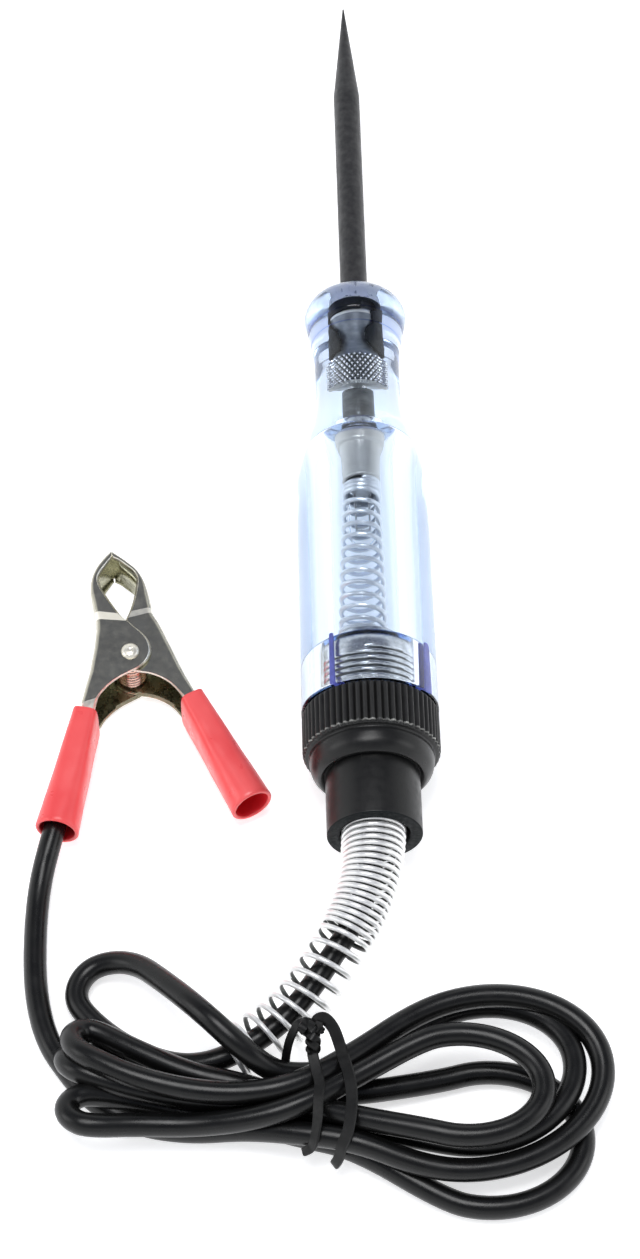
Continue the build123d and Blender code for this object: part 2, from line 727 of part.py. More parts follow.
def main():
    parts = {
        "probe_rod": probe_rod(),
        "knurled_insert": knurled_insert(),
        "probe_seal": probe_seal(),
        "probe_contact": probe_contact(),
        "handle_body": handle_body(),
        "bulb_tip": bulb_tip(),
        "bulb_insulator": bulb_insulator(),
        "bulb_base": bulb_base(),
        "bulb_glass": bulb_glass(),
        "bulb_filament": bulb_filament(),
        "contact_spring": contact_spring(),
        "cord_terminal": cord_terminal(),
        "terminal_insulator": terminal_insulator(),
        "threaded_sleeve": threaded_sleeve(),
        "knurled_cap": knurled_cap(),
        "cord_conductor": cord_conductor(),
        "strain_relief_spring": strain_relief_spring(),
        "cord_lead": tube("lead", LEAD_ROUTE, CORD_R),
        "cord_hank": cord_hank(),
        "cord_tie": cord_tie(),
        "cord_clip_lead": tube("clip lead", CLIP_ROUTE, CORD_R),
        "clip_fixed_jaw": clip_fixed_jaw(),
        "clip_moving_jaw": clip_moving_jaw(),
        "clip_rivet_pin": clip_rivet_pin(),
        "clip_spring": clip_spring(),
        "clip_sleeve_fixed": vinyl_sleeve(FIXED_SLEEVE),
        "clip_sleeve_moving": vinyl_sleeve(MOVING_SLEEVE),
        "clip_lead_crimp": clip_lead_crimp(),
        "clip_conductor": clip_conductor(),
    }
    os.makedirs("parts", exist_ok=True)
    for name, solid in parts.items():
        export_step(solid, f"parts/{name}.step")


main()
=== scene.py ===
"""Looks of the circuit test light: clear screwdriver-like handle, sprung cord and red clip.

Metres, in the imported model's own frame: the tester lies along Y with its probe at +Y, and Z is up.
Lengths are written in millimetres and multiplied by MM.
"""

from math import cos, hypot, pi, radians, sin, tau

import bmesh
import bpy
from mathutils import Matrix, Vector, noise


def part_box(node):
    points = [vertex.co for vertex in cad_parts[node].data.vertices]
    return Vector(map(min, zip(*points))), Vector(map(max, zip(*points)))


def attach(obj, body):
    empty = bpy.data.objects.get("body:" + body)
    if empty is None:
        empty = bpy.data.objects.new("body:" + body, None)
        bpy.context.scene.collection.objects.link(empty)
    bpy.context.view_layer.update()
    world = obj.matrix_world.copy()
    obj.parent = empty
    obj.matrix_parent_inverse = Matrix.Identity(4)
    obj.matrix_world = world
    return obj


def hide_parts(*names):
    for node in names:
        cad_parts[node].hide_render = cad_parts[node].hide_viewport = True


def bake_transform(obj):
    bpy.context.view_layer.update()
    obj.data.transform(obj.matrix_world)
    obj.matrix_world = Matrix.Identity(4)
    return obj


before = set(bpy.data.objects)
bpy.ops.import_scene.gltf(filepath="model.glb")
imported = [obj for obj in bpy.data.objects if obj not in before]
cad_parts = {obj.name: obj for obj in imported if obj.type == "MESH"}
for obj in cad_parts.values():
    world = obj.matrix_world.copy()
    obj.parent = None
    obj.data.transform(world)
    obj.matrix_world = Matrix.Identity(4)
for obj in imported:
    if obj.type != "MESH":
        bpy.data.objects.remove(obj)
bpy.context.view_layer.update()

MM = 0.001


# ---------------------------------------------------------------- frame: stations on the tester
def lowest_y(node):
    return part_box(node)[0].y / MM


def highest_y(node):
    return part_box(node)[1].y / MM


def outer_radius(node):
    low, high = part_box(node)
    return (high.x - low.x) / 2 / MM


AXIS_Z = sum(corner.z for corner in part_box("handle_body")) / 2 / MM
FRONT_Y = highest_y("handle_body")
BARREL_END_Y = lowest_y("handle_body")
BOOT_END_Y = lowest_y("knurled_cap")
BARREL_R = outer_radius("handle_body")
BULB_SHELL_END_Y = lowest_y("bulb_base")
SPRING_END_Y = lowest_y("contact_spring")


def point(x, y, z):
    """A point given in millimetres."""
    return Vector((x, y, z)) * MM


def on_axis(radius, angle, y):
    """A point round the tester's axis, in metres. Angle 0 is on top, and it grows towards +X."""
    return point(radius * sin(angle), y, AXIS_Z + radius * cos(angle))


def mix(start, end, share):
    return start + (end - start) * share


def clamped(value):
    return min(1, max(0, value))


def shares(count):
    """Even steps from 0 to 1, both included."""
    return [step / count for step in range(count + 1)]


def put_in_scene(name, data):
    made = bpy.data.objects.new(name, data)
    bpy.context.scene.collection.objects.link(made)
    return made


# ---------------------------------------------------------------- camera
CAMERA_TARGET = point(-6.78, -45.34, AXIS_Z)
CAMERA_DIRECTION = Vector((0.01298, 0.55904, -0.82904)).normalized()
CAMERA_DISTANCE = 433 * MM
CAMERA_LENS = 85.8


def make_camera():
    data = bpy.data.cameras.new("camera")
    data.lens = CAMERA_LENS
    data.sensor_width = 36
    data.clip_start = 0.01
    data.clip_end = 20
    camera = put_in_scene("camera", data)
    camera.location = CAMERA_TARGET - CAMERA_DIRECTION * CAMERA_DISTANCE
    camera.rotation_euler = CAMERA_DIRECTION.to_track_quat("-Z", "Y").to_euler()
    bpy.context.scene.camera = camera


make_camera()

# ---------------------------------------------------------------- cord
CORD_R = 1.6
CORD_FLOOR_Z = 1.65

# From the cap's gland, through the strain relief, round the first loop and into the tied bundle.
LEAD_ROUTE = [
    (0, -71.2, AXIS_Z),
    (0.1, -81.5, 9.75),
    (-2.0, -90.2, 8.6),
    (-7.0, -98.0, 6.6),
    (-12.6, -105.2, 4.8),
    (-20.4, -110.2, 3.9),
    (-26.6, -110.9, 2.6),
    (-33.4, -107.9, CORD_FLOOR_Z),
    (-38.6, -103.9, CORD_FLOOR_Z),
    (-41.9, -99.6, CORD_FLOOR_Z),
    (-39.6, -94.9, 1.8),
    (-33.6, -95.0, 3.6),
    (-28.4, -101.0, 7.6),
    (-23.6, -106.8, 10.6),
    (-18.7, -111.4, 9.4),
    (-14.8, -113.4, 6.4),
]

# From under the bundle's left end to the clip's fixed handle.
CLIP_ROUTE = [
    (-41.9, -111.1, CORD_FLOOR_Z),
    (-45.2, -105.9, CORD_FLOOR_Z),
    (-46.9, -98.6, CORD_FLOOR_Z),
    (-47.2, -89.5, CORD_FLOOR_Z),
    (-46.7, -81.6, 1.9),
    (-44.9, -75.4, 4.5),
    (-43.3, -68.6, 4.5),
]

# The bundle's turns. Each goes through the tie to a lobe on the right and back through the tie,
# and then round a fold on the left. A bend is (centre, reach, half width), all as (x, y, z).
TIE_LEFT_X = -11.5
TIE_RIGHT_X = -4.0
TURNS = [
    {  # second widest lobe, then the middle fold
        "into_lobe": [(TIE_LEFT_X, -113.7, 5.5), (TIE_RIGHT_X, -112.3, 3.5)],
        "lobe": ((13.0, -113.4, 3.9), (12.9, 0.8, 1.0), (0, 10.5, -0.6)),
        "out_of_lobe": [(TIE_RIGHT_X, -119.7, 3.2), (TIE_LEFT_X, -118.1, 2.3)],
        "into_fold": [(-18.5, -115.1, 1.7), (-25.5, -114.0, 1.75), (-33.0, -110.9, 2.0)],
        "fold": ((-38.6, -111.0, 4.2), (-3.9, 1.0, 0), (0, 2.4, -1.8)),
        "out_of_fold": [(-33.0, -115.1, 5.2), (-25.5, -116.5, 4.7), (-18.5, -117.5, 4.4)],
    },
    {  # lowest lobe, then the fold at the front
        "into_lobe": [(TIE_LEFT_X, -115.0, 2.8), (TIE_RIGHT_X, -115.4, 2.8)],
        "lobe": ((14.0, -121.8, 1.7), (12.6, 0, 0), (0, 9.9, 0)),
        "out_of_lobe": [(TIE_RIGHT_X, -122.9, 2.6), (TIE_LEFT_X, -121.0, 2.5)],
        "into_fold": [(-18.5, -118.3, 1.7), (-25.5, -117.2, 1.75), (-32.5, -115.6, 2.2)],
        "fold": ((-37.8, -118.1, 5.6), (-4.3, 0.2, 0), (0, 2.9, -0.9)),
        "out_of_fold": [(-32.5, -120.2, 5.2), (-25.5, -120.4, 5.0), (-18.5, -120.6, 6.6)],
    },
    {  # inner lobe, on top of the others, then the fold at the back
        "into_lobe": [(TIE_LEFT_X, -119.4, 7.9), (TIE_RIGHT_X, -114.9, 7.0)],
        "lobe": ((10.6, -116.7, 7.9), (10.7, -0.4, 0), (0, 7.5, 0)),
        "out_of_lobe": [(TIE_RIGHT_X, -120.5, 6.7), (TIE_LEFT_X, -117.5, 5.0)],
        "into_fold": [(-18.5, -114.4, 4.5), (-25.5, -112.9, 4.7), (-33.0, -109.3, 4.8)],
        "fold": ((-37.6, -109.1, 6.1), (-4.0, 1.2, 0), (0, 3.1, -1.9)),
        "out_of_fold": [(-33.0, -114.7, 8.0), (-25.5, -116.7, 7.7), (-18.5, -117.2, 7.5)],
    },
    {  # widest lobe
        "into_lobe": [(TIE_LEFT_X, -116.3, 7.9), (TIE_RIGHT_X, -111.7, 7.0)],
        "lobe": ((13.0, -115.1, 5.3), (16.7, 1.9, -0.4), (0, 12.3, 1.0)),
        "out_of_lobe": [(TIE_RIGHT_X, -123.3, 5.8), (TIE_LEFT_X, -121.9, 5.4)],
    },
]
LOBE_SWEEP = (120, -120)
LOBE_POINTS = 11
FOLD_SWEEP = (75, -75)
FOLD_POINTS = 5
UNDER_FOLDS = [
    (-18.5, -120.4, 3.6),
    (-25.5, -119.9, CORD_FLOOR_Z),
    (-32.5, -118.7, CORD_FLOOR_Z),
    (-38.3, -115.4, CORD_FLOOR_Z),
]


def bend(centre, reach, half, sweep, count):
    """Points round part of an ellipse, from its +half side to its -half side."""
    centre, reach, half = Vector(centre), Vector(reach), Vector(half)
    angles = [radians(mix(*sweep, share)) for share in shares(count - 1)]
    return [tuple(centre + reach * cos(angle) + half * sin(angle)) for angle in angles]


def bundle_route():
    points = []
    for turn in TURNS:
        points += turn["into_lobe"]
        points += bend(*turn["lobe"], LOBE_SWEEP, LOBE_POINTS)
        points += turn["out_of_lobe"]
        if "fold" in turn:
            points += turn["into_fold"]
            points += bend(*turn["fold"], FOLD_SWEEP, FOLD_POINTS)
            points += turn["out_of_fold"]
    return points + UNDER_FOLDS


def make_curve(name, route, radius):
    """Smooth round cord along a route given in millimetres."""
    data = bpy.data.curves.new(name, "CURVE")
    data.dimensions = "3D"
    data.bevel_depth = radius * MM
    data.bevel_resolution = 8
    data.resolution_u = 12
    data.use_fill_caps = True
    spline = data.splines.new("NURBS")
    spline.points.add(len(route) - 1)
    for control, place in zip(spline.points, route):
        control.co = (*point(*place), 1)
    spline.order_u = 3
    spline.use_endpoint_u = True
    spline.use_smooth = True
    return put_in_scene(name, data)


def line_of(curve):
    """Points down the middle of a curve, in metres."""
    bare = bpy.data.objects.new("bare", curve.data.copy())
    bare.data.bevel_depth = 0
    mesh = bpy.data.meshes.new_from_object(bare)
    points = [vertex.co.copy() for vertex in mesh.vertices]
    bpy.data.meshes.remove(mesh)
    bpy.data.curves.remove(bare.data)
    return points


cord = make_curve("cord", LEAD_ROUTE + bundle_route() + CLIP_ROUTE, CORD_R)
CORD_LINE = line_of(cord)


# ---------------------------------------------------------------- mesh tools
def add_object(name, mesh, material, sharp=35):
    """Put a mesh in the scene with smooth shading and sharp edges above an angle in degrees."""
    mesh.update()
    mesh.materials.append(material)
    mesh.shade_smooth()
    mesh.set_sharp_from_angle(angle=radians(sharp))
    return put_in_scene(name, mesh)


def paint(piece, choose, *materials):
    """Add more materials to a piece. choose(face) returns the number of each face's material."""
    mesh = piece.data
    for material in materials:
        mesh.materials.append(material)
    for face in mesh.polygons:
        face.material_index = choose(face)
    return piece


def thicken(piece, thickness, offset):
    """Give a surface a thickness in millimetres, inward for an offset of -1 and outward for 1."""
    sheet = piece.modifiers.new("sheet", "SOLIDIFY")
    sheet.thickness = thickness * MM
    sheet.offset = offset
    return sheet


def settle(piece, body, slot, *nodes):
    """Tie a finished piece to its body and hide the CAD nodes that it stands for. slot, the name of its
    finish, is not used.
    """
    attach(piece, body)
    if nodes:
        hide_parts(*nodes)
    return piece


def grid_mesh(name, rows, close_columns=True, cap_ends=False):
    """Mesh through rows of points. Each row closes on itself, and the last row may join the first."""
    vertices = [place for row in rows for place in row]
    count = len(rows[0])
    faces = []
    last_row = len(rows) if close_columns else len(rows) - 1
    for r in range(last_row):
        a, b = r * count, (r + 1) % len(rows) * count
        for c in range(count):
            d = (c + 1) % count
            faces.append((a + c, a + d, b + d, b + c))
    if cap_ends:
        faces.append(tuple(reversed(range(count))))
        faces.append(tuple(range((len(rows) - 1) * count, len(rows) * count)))
    mesh = bpy.data.meshes.new(name)
    mesh.from_pydata(vertices, [], faces)
    work = bmesh.new()
    work.from_mesh(mesh)
    bmesh.ops.remove_doubles(work, verts=work.verts, dist=1e-7)
    bmesh.ops.recalc_face_normals(work, faces=work.faces)
    work.to_mesh(mesh)
    work.free()
    return mesh


def even_angles(count):
    return [tau * step / count for step in range(count)]


def upright(centre_x, centre_y, centre_z):
    """Places for a turned piece whose axis is upright."""

    def place(radius, angle, height):
        return point(centre_x + radius * cos(angle), centre_y + radius * sin(angle), centre_z + height)

    return place


def turned_mesh(name, profile, angles=None, shape=None, place=on_axis):
    """Turned mesh from a closed outline of (radius, along). shape may change a radius by angle."""
    angles = angles or even_angles(96)
    rows = []
    for index, (radius, along) in enumerate(profile):
        row = []
        for angle in angles:
            here = shape(index, radius, angle, along) if shape else radius
            row.append(place(max(here, 0.0), angle, along))
        rows.append(row)
    return grid_mesh(name, rows)


def rounded(corners, radius, steps=4):
    """A closed outline with its corners rounded. A corner may give its own radius as a third value."""
    result = []
    count = len(corners)
    for index, corner in enumerate(corners):
        here = Vector(corner[:2])
        before = Vector(corners[index - 1][:2]) - here
        after = Vector(corners[(index + 1) % count][:2]) - here
        wanted = corner[2] if len(corner) > 2 else radius
        size = min(wanted, before.length * 0.45, after.length * 0.45)
        if size < 0.01:
            result.append(tuple(here))
            continue
        start, end = here + before.normalized() * size, here + after.normalized() * size
        for t in shares(steps):
            result.append(tuple(start * (1 - t) ** 2 + here * 2 * t * (1 - t) + end * t * t))
    return result


def supported(outline):
    """The closed outline with extra points close to the ends of its long sides, to keep them flat."""
    near = 0.15
    result = []
    for index, here in enumerate(outline):
        here, ahead = Vector(here), Vector(outline[(index + 1) % len(outline)])
        result.append(tuple(here))
        length = (ahead - here).length
        if length > near * 4:
            result.append(tuple(here.lerp(ahead, near / length)))
            result.append(tuple(here.lerp(ahead, 1 - near / length)))
    return result


def turned_piece(name, profile, material, sharp=60, **how):
    """Turned mesh as a finished piece. how goes on to turned_mesh."""
    return add_object(name, turned_mesh(name, profile, **how), material, sharp)


def ring_of(radius, angles, along):
    """One row of points round the tester's axis."""
    return [on_axis(radius, angle, along) for angle in angles]


def reach_of(face):
    """A face's distance from the tester's axis, in millimetres."""
    return hypot(face.center.x, face.center.z - AXIS_Z * MM) / MM


def frames_along(line):
    """Turning frames along a line of points: (place, side, up), carried along without twist."""
    frames = []
    side = None
    for index, place in enumerate(line):
        ahead = line[min(index + 1, len(line) - 1)] - line[max(index - 1, 0)]
        ahead.normalize()
        if side is None:
            side = ahead.cross(Vector((0, 0, 1))).normalized()
        side = (side - ahead * side.dot(ahead)).normalized()
        frames.append((place, side, ahead.cross(side)))
    return frames


def swept_mesh(name, line, section):
    """Mesh swept along a line of points. section(index) gives points (across, up) in millimetres."""
    rows = []
    for index, (place, side, up) in enumerate(frames_along(line)):
        rows.append([place + (side * across + up * rise) * MM for across, rise in section(index)])
    return grid_mesh(name, rows, close_columns=False, cap_ends=True)


WIRE_SIDES = 10


def round_section(radius, sides):
    return [(radius * cos(tau * side / sides), radius * sin(tau * side / sides)) for side in range(sides)]


def wire_mesh(name, line, radius, sides=WIRE_SIDES):
    """Round wire along a line, with slightly rounded ends."""
    full = round_section(radius, sides)
    small = [(0.55 * across, 0.55 * rise) for across, rise in full]
    last = len(line) - 1
    return swept_mesh(name, line, lambda index: small if index in (0, last) else full)


def line_inner_side(coil, middles, sides, material):
    """Second material for the faces of a coiled wire that look at the coil's own axis."""
    least_inward = 0.3

    def looks_inward(face):
        middle = middles[min(face.index // sides, len(middles) - 1)]
        return int(face.normal.dot((middle - face.center).normalized()) > least_inward)

    return paint(coil, looks_inward, material)


def resampled(line, step):
    """Points at even steps, given in metres, along a line."""
    points = [line[0].copy()]
    need = step
    for start, end in zip(line, line[1:]):
        run = (end - start).length
        while need <= run:
            points.append(start.lerp(end, need / run))
            need += step
        need -= run
    return points


def smooth_line(controls, per_span=8):
    """Catmull-Rom curve through points given in millimetres."""
    points = [point(*place) for place in controls]
    ends = [points[0] * 2 - points[1]] + points + [points[-1] * 2 - points[-2]]
    line = []
    for p0, p1, p2, p3 in zip(ends, ends[1:], ends[2:], ends[3:]):
        for step in range(per_span):
            t = step / per_span
            line.append(
                0.5 * (2 * p1 + (p2 - p0) * t + (2 * p0 - 5 * p1 + 4 * p2 - p3) * t * t)
                + 0.5 * (3 * p1 - 3 * p2 + p3 - p0) * t**3
            )
    return line + [points[-1]]


# ---------------------------------------------------------------- material tools
def fill_sockets(node, **values):
    """Fixed values on a node's own inputs. A name's underscores stand for spaces."""
    for socket, value in values.items():
        node.inputs[socket.replace("_", " ")].default_value = value
    return node


def add_node(tree, kind, **values):
    return fill_sockets(tree.nodes.new("ShaderNode" + kind), **values)


def shader_of(material):
    return material.node_tree.nodes["Principled BSDF"]


def make_material(name, colour, roughness, metallic=0.0, **sockets):
    material = bpy.data.materials.new(name)
    material.use_nodes = True
    own = {"Base_Color": (*colour, 1), "Roughness": roughness, "Metallic": metallic}
    fill_sockets(shader_of(material), **own, **sockets)
    return material


def noise_of(material, scale, detail=3.0, stretch=(1, 1, 1)):
    """Noise in the object's own metres. scale is in features per millimetre."""
    tree = material.node_tree
    place = add_node(tree, "TexCoord")
    mapping = add_node(tree, "Mapping", Scale=[value * scale / MM for value in stretch])
    pattern = add_node(tree, "TexNoise", Scale=1.0, Detail=detail)
    tree.links.new(place.outputs["Object"], mapping.inputs["Vector"])
    tree.links.new(mapping.outputs["Vector"], pattern.inputs["Vector"])
    return pattern.outputs["Fac"]


def vary_roughness(material, source, low, high):
    """Roughness that goes from low to high over the middle part of a noise."""
    tree = material.node_tree
    node = add_node(tree, "MapRange", From_Min=0.3, From_Max=0.7, To_Min=low, To_Max=high)
    tree.links.new(source, node.inputs["Value"])
    tree.links.new(node.outputs["Result"], shader_of(material).inputs["Roughness"])


def colour_ramp(tree, *stops):
    """Ramp between two stops of (position, colour)."""
    ramp = add_node(tree, "ValToRGB")
    for element, (position, colour) in zip(ramp.color_ramp.elements, stops):
        element.position = position
        element.color = (*colour, 1)
    return ramp


def vary_colour(material, source, dark, light, start=0.3, end=0.7):
    """Base colour between two colours, by a source."""
    tree = material.node_tree
    ramp = colour_ramp(tree, (start, dark), (end, light))
    tree.links.new(source, ramp.inputs["Fac"])
    tree.links.new(ramp.outputs["Color"], shader_of(material).inputs["Base Color"])


def add_bump(material, source, strength, depth_mm):
    """Bump on top of any bump that the material has."""
    tree = material.node_tree
    shader = shader_of(material)
    node = add_node(tree, "Bump", Strength=strength, Distance=depth_mm * MM)
    tree.links.new(source, node.inputs["Height"])
    if shader.inputs["Normal"].is_linked:
        tree.links.new(shader.inputs["Normal"].links[0].from_socket, node.inputs["Normal"])
    tree.links.new(node.outputs["Normal"], shader.inputs["Normal"])


def edge_wear(material):
    """How convex the surface is: about 0.5 on flats, more on edges."""
    return add_node(material.node_tree, "NewGeometry").outputs["Pointiness"]


def finish(name, colour, roughness, metallic=0.0, tone=None, rough=None, bumps=(), **sockets):
    """Material whose colour, roughness and surface follow noise.

    Each of the three starts with what noise_of needs. tone goes on with what vary_colour needs,
    rough with the least and the most, and a bump with its strength and its depth in millimetres.
    """
    material = make_material(name, colour, roughness, metallic, **sockets)
    if tone:
        pattern, *colours = tone
        vary_colour(material, noise_of(material, *pattern), *colours)
    if rough:
        pattern, least, most = rough
        vary_roughness(material, noise_of(material, *pattern), least, most)
    for pattern, strength, depth in bumps:
        add_bump(material, noise_of(material, *pattern), strength, depth)
    return material


# ---------------------------------------------------------------- materials
def clear_plastic(name, colour, smooth, rough):
    """Moulded plastic with a blue body tint. It scatters from smooth to rough."""
    material = make_material(name, colour, smooth, IOR=1.47, Transmission_Weight=1.0)
    vary_roughness(material, noise_of(material, 0.5), smooth, rough)
    add_bump(material, noise_of(material, 0.12, 2, (1, 0.25, 1)), 0.25, 0.25)
    tree = material.node_tree
    body = add_node(tree, "VolumeAbsorption", Color=(0.33, 0.62, 0.98, 1), Density=31)
    tree.links.new(body.outputs["Volume"], tree.nodes["Material Output"].inputs["Volume"])
    return material


CLEAR_PLASTIC = clear_plastic("clear_plastic", (0.95, 0.975, 1.0), 0.015, 0.07)
FROSTED_PLASTIC = clear_plastic("frosted_plastic", (0.97, 0.985, 1.0), 0.1, 0.22)
# Painted shade: deeper blue tint on the collar's two moulded steps.
RING_SHADE_PLASTIC = clear_plastic("ring_shade_plastic", (0.35, 0.42, 0.85), 0.1, 0.2)
# Painted shade: opaque deep blue that stands for the dark look of the slots moulded into the handle's
# mouth.
SLOT_SHADE_PLASTIC = finish(
    "slot_shade_plastic", (0.10, 0.12, 0.58), 0.35,
    tone=((0.8, 3), (0.08, 0.095, 0.50), (0.125, 0.145, 0.66)),
)
BLACK_STEEL = finish(
    "black_steel", (0.035, 0.035, 0.037), 0.45, 0.35,
    tone=((0.9, 6), (0.022, 0.022, 0.024), (0.055, 0.054, 0.055)),
    rough=((2.2, 4, (1, 0.15, 1)), 0.36, 0.56),
    bumps=[((7.0, 3, (1, 0.5, 1)), 0.35, 0.02)],
)
NICKEL = finish(
    "nickel", (0.80, 0.79, 0.78), 0.2, 1.0,
    tone=((1.1, 5), (0.62, 0.62, 0.62), (0.88, 0.87, 0.86)),
    rough=((3.0, 4), 0.16, 0.28),
    bumps=[((3.0, 2), 0.05, 0.02)],
)
# Dark metal of the contact. Also painted shade in the knurl's valleys, in the thread's grooves and on the
# inner side of the strain-relief spring.
DARK_METAL_AND_SHADE = finish(
    "dark_metal", (0.12, 0.12, 0.12), 0.42, 0.7,
    tone=((0.8, 4), (0.07, 0.075, 0.072), (0.16, 0.165, 0.16)),
    rough=((2.5, 4), 0.3, 0.5),
)
DULL_METAL = finish(
    "dull_metal", (0.66, 0.66, 0.65), 0.34, 1.0,
    tone=((0.9, 5), (0.54, 0.54, 0.54), (0.78, 0.78, 0.76)),
    rough=((3.0, 4, (1, 0.3, 1)), 0.24, 0.42),
    bumps=[((5.0, 3), 0.15, 0.02)],
)
# Grey phosphated steel at the probe's root.
STEM_METAL = finish(
    "stem_metal", (0.28, 0.29, 0.30), 0.4, 0.5,
    tone=((0.8, 4), (0.21, 0.22, 0.23), (0.34, 0.35, 0.36)),
    rough=((2.5, 4), 0.32, 0.5),
)
# Cream sealing compound with dark specks.
PALE_FILLER = finish(
    "pale_filler", (0.75, 0.76, 0.72), 0.5,
    tone=((1.6, 5), (0.22, 0.23, 0.25), (0.97, 0.96, 0.90), 0.30, 0.42),
    rough=((2.0, 3), 0.4, 0.6),
)
# Dull plated brass of the bulb's shell.
PRESSED_SHELL = finish(
    "pressed_shell", (0.73, 0.70, 0.64), 0.34, 0.8,
    tone=((0.4, 3), (0.70, 0.67, 0.61), (0.78, 0.75, 0.69)),
    rough=((2.0, 3), 0.4, 0.5),
)
BLACK_RUBBER = finish(
    "black_rubber", (0.007, 0.009, 0.01), 0.55,
    rough=((2.0, 4), 0.42, 0.7),
    bumps=[((3.0, 4), 0.5, 0.05)],
    Specular_IOR_Level=0.15,
)
BLACK_INSULATOR = finish(
    "black_insulator", (0.02, 0.02, 0.022), 0.35,
    rough=((2.0, 3), 0.25, 0.45),
)
# Very thin glass, drawn solid with a low index so that it hardly bends the view.
BULB_GLASS = finish(
    "bulb_glass", (0.98, 0.99, 1.0), 0.02,
    rough=((0.8, 2), 0.0, 0.05),
    IOR=1.03,
    Transmission_Weight=1.0,
)
TUNGSTEN = finish(
    "tungsten", (0.75, 0.75, 0.75), 0.4, 0.8,
    rough=((4.0, 2), 0.3, 0.5),
)
SPRING_STEEL = finish(
    "spring_steel", (0.93, 0.93, 0.92), 0.36, 0.72,
    tone=((0.7, 4), (0.88, 0.88, 0.88), (0.97, 0.97, 0.96)),
    rough=((2.5, 4), 0.3, 0.42),
    bumps=[((5.0, 2), 0.12, 0.02)],
)
# Painted light: paler inner side of the contact spring, as if lit through the clear plastic.
PALE_WIRE = finish(
    "pale_wire", (0.84, 0.89, 0.98), 0.5, 0.1,
    tone=((0.7, 3), (0.80, 0.85, 0.96), (0.90, 0.94, 1.0)),
    rough=((2.0, 3), 0.42, 0.58),
)
BLACK_PLASTIC = finish(
    "black_plastic", (0.009, 0.009, 0.009), 0.4,
    rough=((0.8, 5), 0.3, 0.46),
    bumps=[((4.0, 4), 0.25, 0.03)],
    Specular_IOR_Level=0.32,
)
vary_colour(BLACK_PLASTIC, edge_wear(BLACK_PLASTIC), (0.007, 0.007, 0.007), (0.04, 0.04, 0.04), 0.5, 0.6)
# Smoother black of the cap's rolled shoulder.
POLISHED_PLASTIC = finish(
    "polished_plastic", (0.008, 0.008, 0.008), 0.3,
    rough=((0.8, 5), 0.27, 0.35),
    bumps=[((4.0, 3), 0.12, 0.02)],
    Specular_IOR_Level=0.36,
)
# Painted highlight: a pale band where the ribs' bevel next to the shoulder catches the light.
RIB_HIGHLIGHT_PLASTIC = finish(
    "rib_highlight_plastic", (0.12, 0.12, 0.115), 0.4,
    tone=((0.9, 4), (0.03, 0.03, 0.03), (0.30, 0.30, 0.28), 0.4, 0.62),
    rough=((2.0, 3), 0.3, 0.5),
)
COPPER = finish(
    "copper", (0.86, 0.58, 0.48), 0.3, 1.0,
    tone=((1.5, 3), (0.76, 0.48, 0.38), (0.93, 0.68, 0.58)),
    rough=((3.0, 3), 0.18, 0.35),
)
CORD_PVC = finish(
    "cord_pvc", (0.004, 0.004, 0.004), 0.3,
    tone=((0.35, 3), (0.003, 0.003, 0.003), (0.006, 0.006, 0.006)),
    rough=((0.5, 3), 0.24, 0.34),
    bumps=[((0.3, 2), 0.2, 0.06), ((4.0, 2), 0.05, 0.02)],
    Specular_IOR_Level=0.36,
)
TIE_PLASTIC = finish(
    "tie_plastic", (0.004, 0.004, 0.004), 0.42,
    rough=((2.0, 4), 0.3, 0.46),
    bumps=[((4.0, 3), 0.3, 0.03)],
    Specular_IOR_Level=0.28,
)
CLIP_CHROME = finish(
    "clip_chrome", (0.56, 0.56, 0.54), 0.22, 1.0,
    tone=((0.4, 4), (0.43, 0.41, 0.345), (0.55, 0.525, 0.44)),
    rough=((1.2, 4), 0.18, 0.27),
    bumps=[((0.3, 2), 0.06, 0.05), ((4.0, 3), 0.05, 0.015)],
)
# Bright sheared edges of the plated sheet, partly their own bare metal and partly a painted highlight. On
# the jaws' pressed steps it is a painted highlight only.
CLIP_EDGE_AND_HIGHLIGHT = finish(
    "clip_edge_and_highlight", (0.92, 0.88, 0.78), 0.38, 1.0,
    rough=((2.0, 3), 0.3, 0.46),
)
# Painted shade: darker plate with an olive cast on the inner side of the fold.
CLIP_INSIDE = finish(
    "clip_inside", (0.30, 0.29, 0.19), 0.28, 1.0,
    tone=((0.5, 4), (0.34, 0.33, 0.22), (0.50, 0.49, 0.36)),
    rough=((1.5, 4), 0.2, 0.36),
    bumps=[((0.5, 3), 0.15, 0.05)],
)
RED_VINYL = finish(
    "red_vinyl", (0.97, 0.115, 0.12), 0.34,
    tone=((0.12, 3), (0.92, 0.085, 0.09), (0.98, 0.125, 0.125)),
    rough=((0.5, 4), 0.26, 0.42),
    bumps=[((0.25, 2), 0.3, 0.2), ((4.0, 3), 0.07, 0.02)],
)
# Painted shade: darker red lining inside a vinyl sleeve.
VINYL_INSIDE = finish(
    "vinyl_inside", (0.82, 0.02, 0.03), 0.5,
    tone=((0.2, 3), (0.76, 0.015, 0.025), (0.86, 0.025, 0.035)),
    rough=((0.5, 3), 0.42, 0.56),
)

# The CAD nodes that no finer piece replaces.
CAD_FINISHES = {
    "probe_rod": BLACK_STEEL,
    "bulb_tip": DULL_METAL,
    "bulb_insulator": BLACK_INSULATOR,
    "bulb_glass": BULB_GLASS,
    "bulb_filament": TUNGSTEN,
    "cord_terminal": NICKEL,
    "terminal_insulator": BLACK_INSULATOR,
    "cord_conductor": COPPER,
    "clip_lead_crimp": CLIP_CHROME,
    "clip_conductor": COPPER,
}


def dress_cad_nodes():
    for node, material in CAD_FINISHES.items():
        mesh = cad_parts[node].data
        mesh.materials.clear()
        mesh.materials.append(material)


dress_cad_nodes()

# ---------------------------------------------------------------- cord, finished
cord.data.materials.append(CORD_PVC)
settle(cord, "root", "cord_pvc", "cord_lead", "cord_hank", "cord_clip_lead")


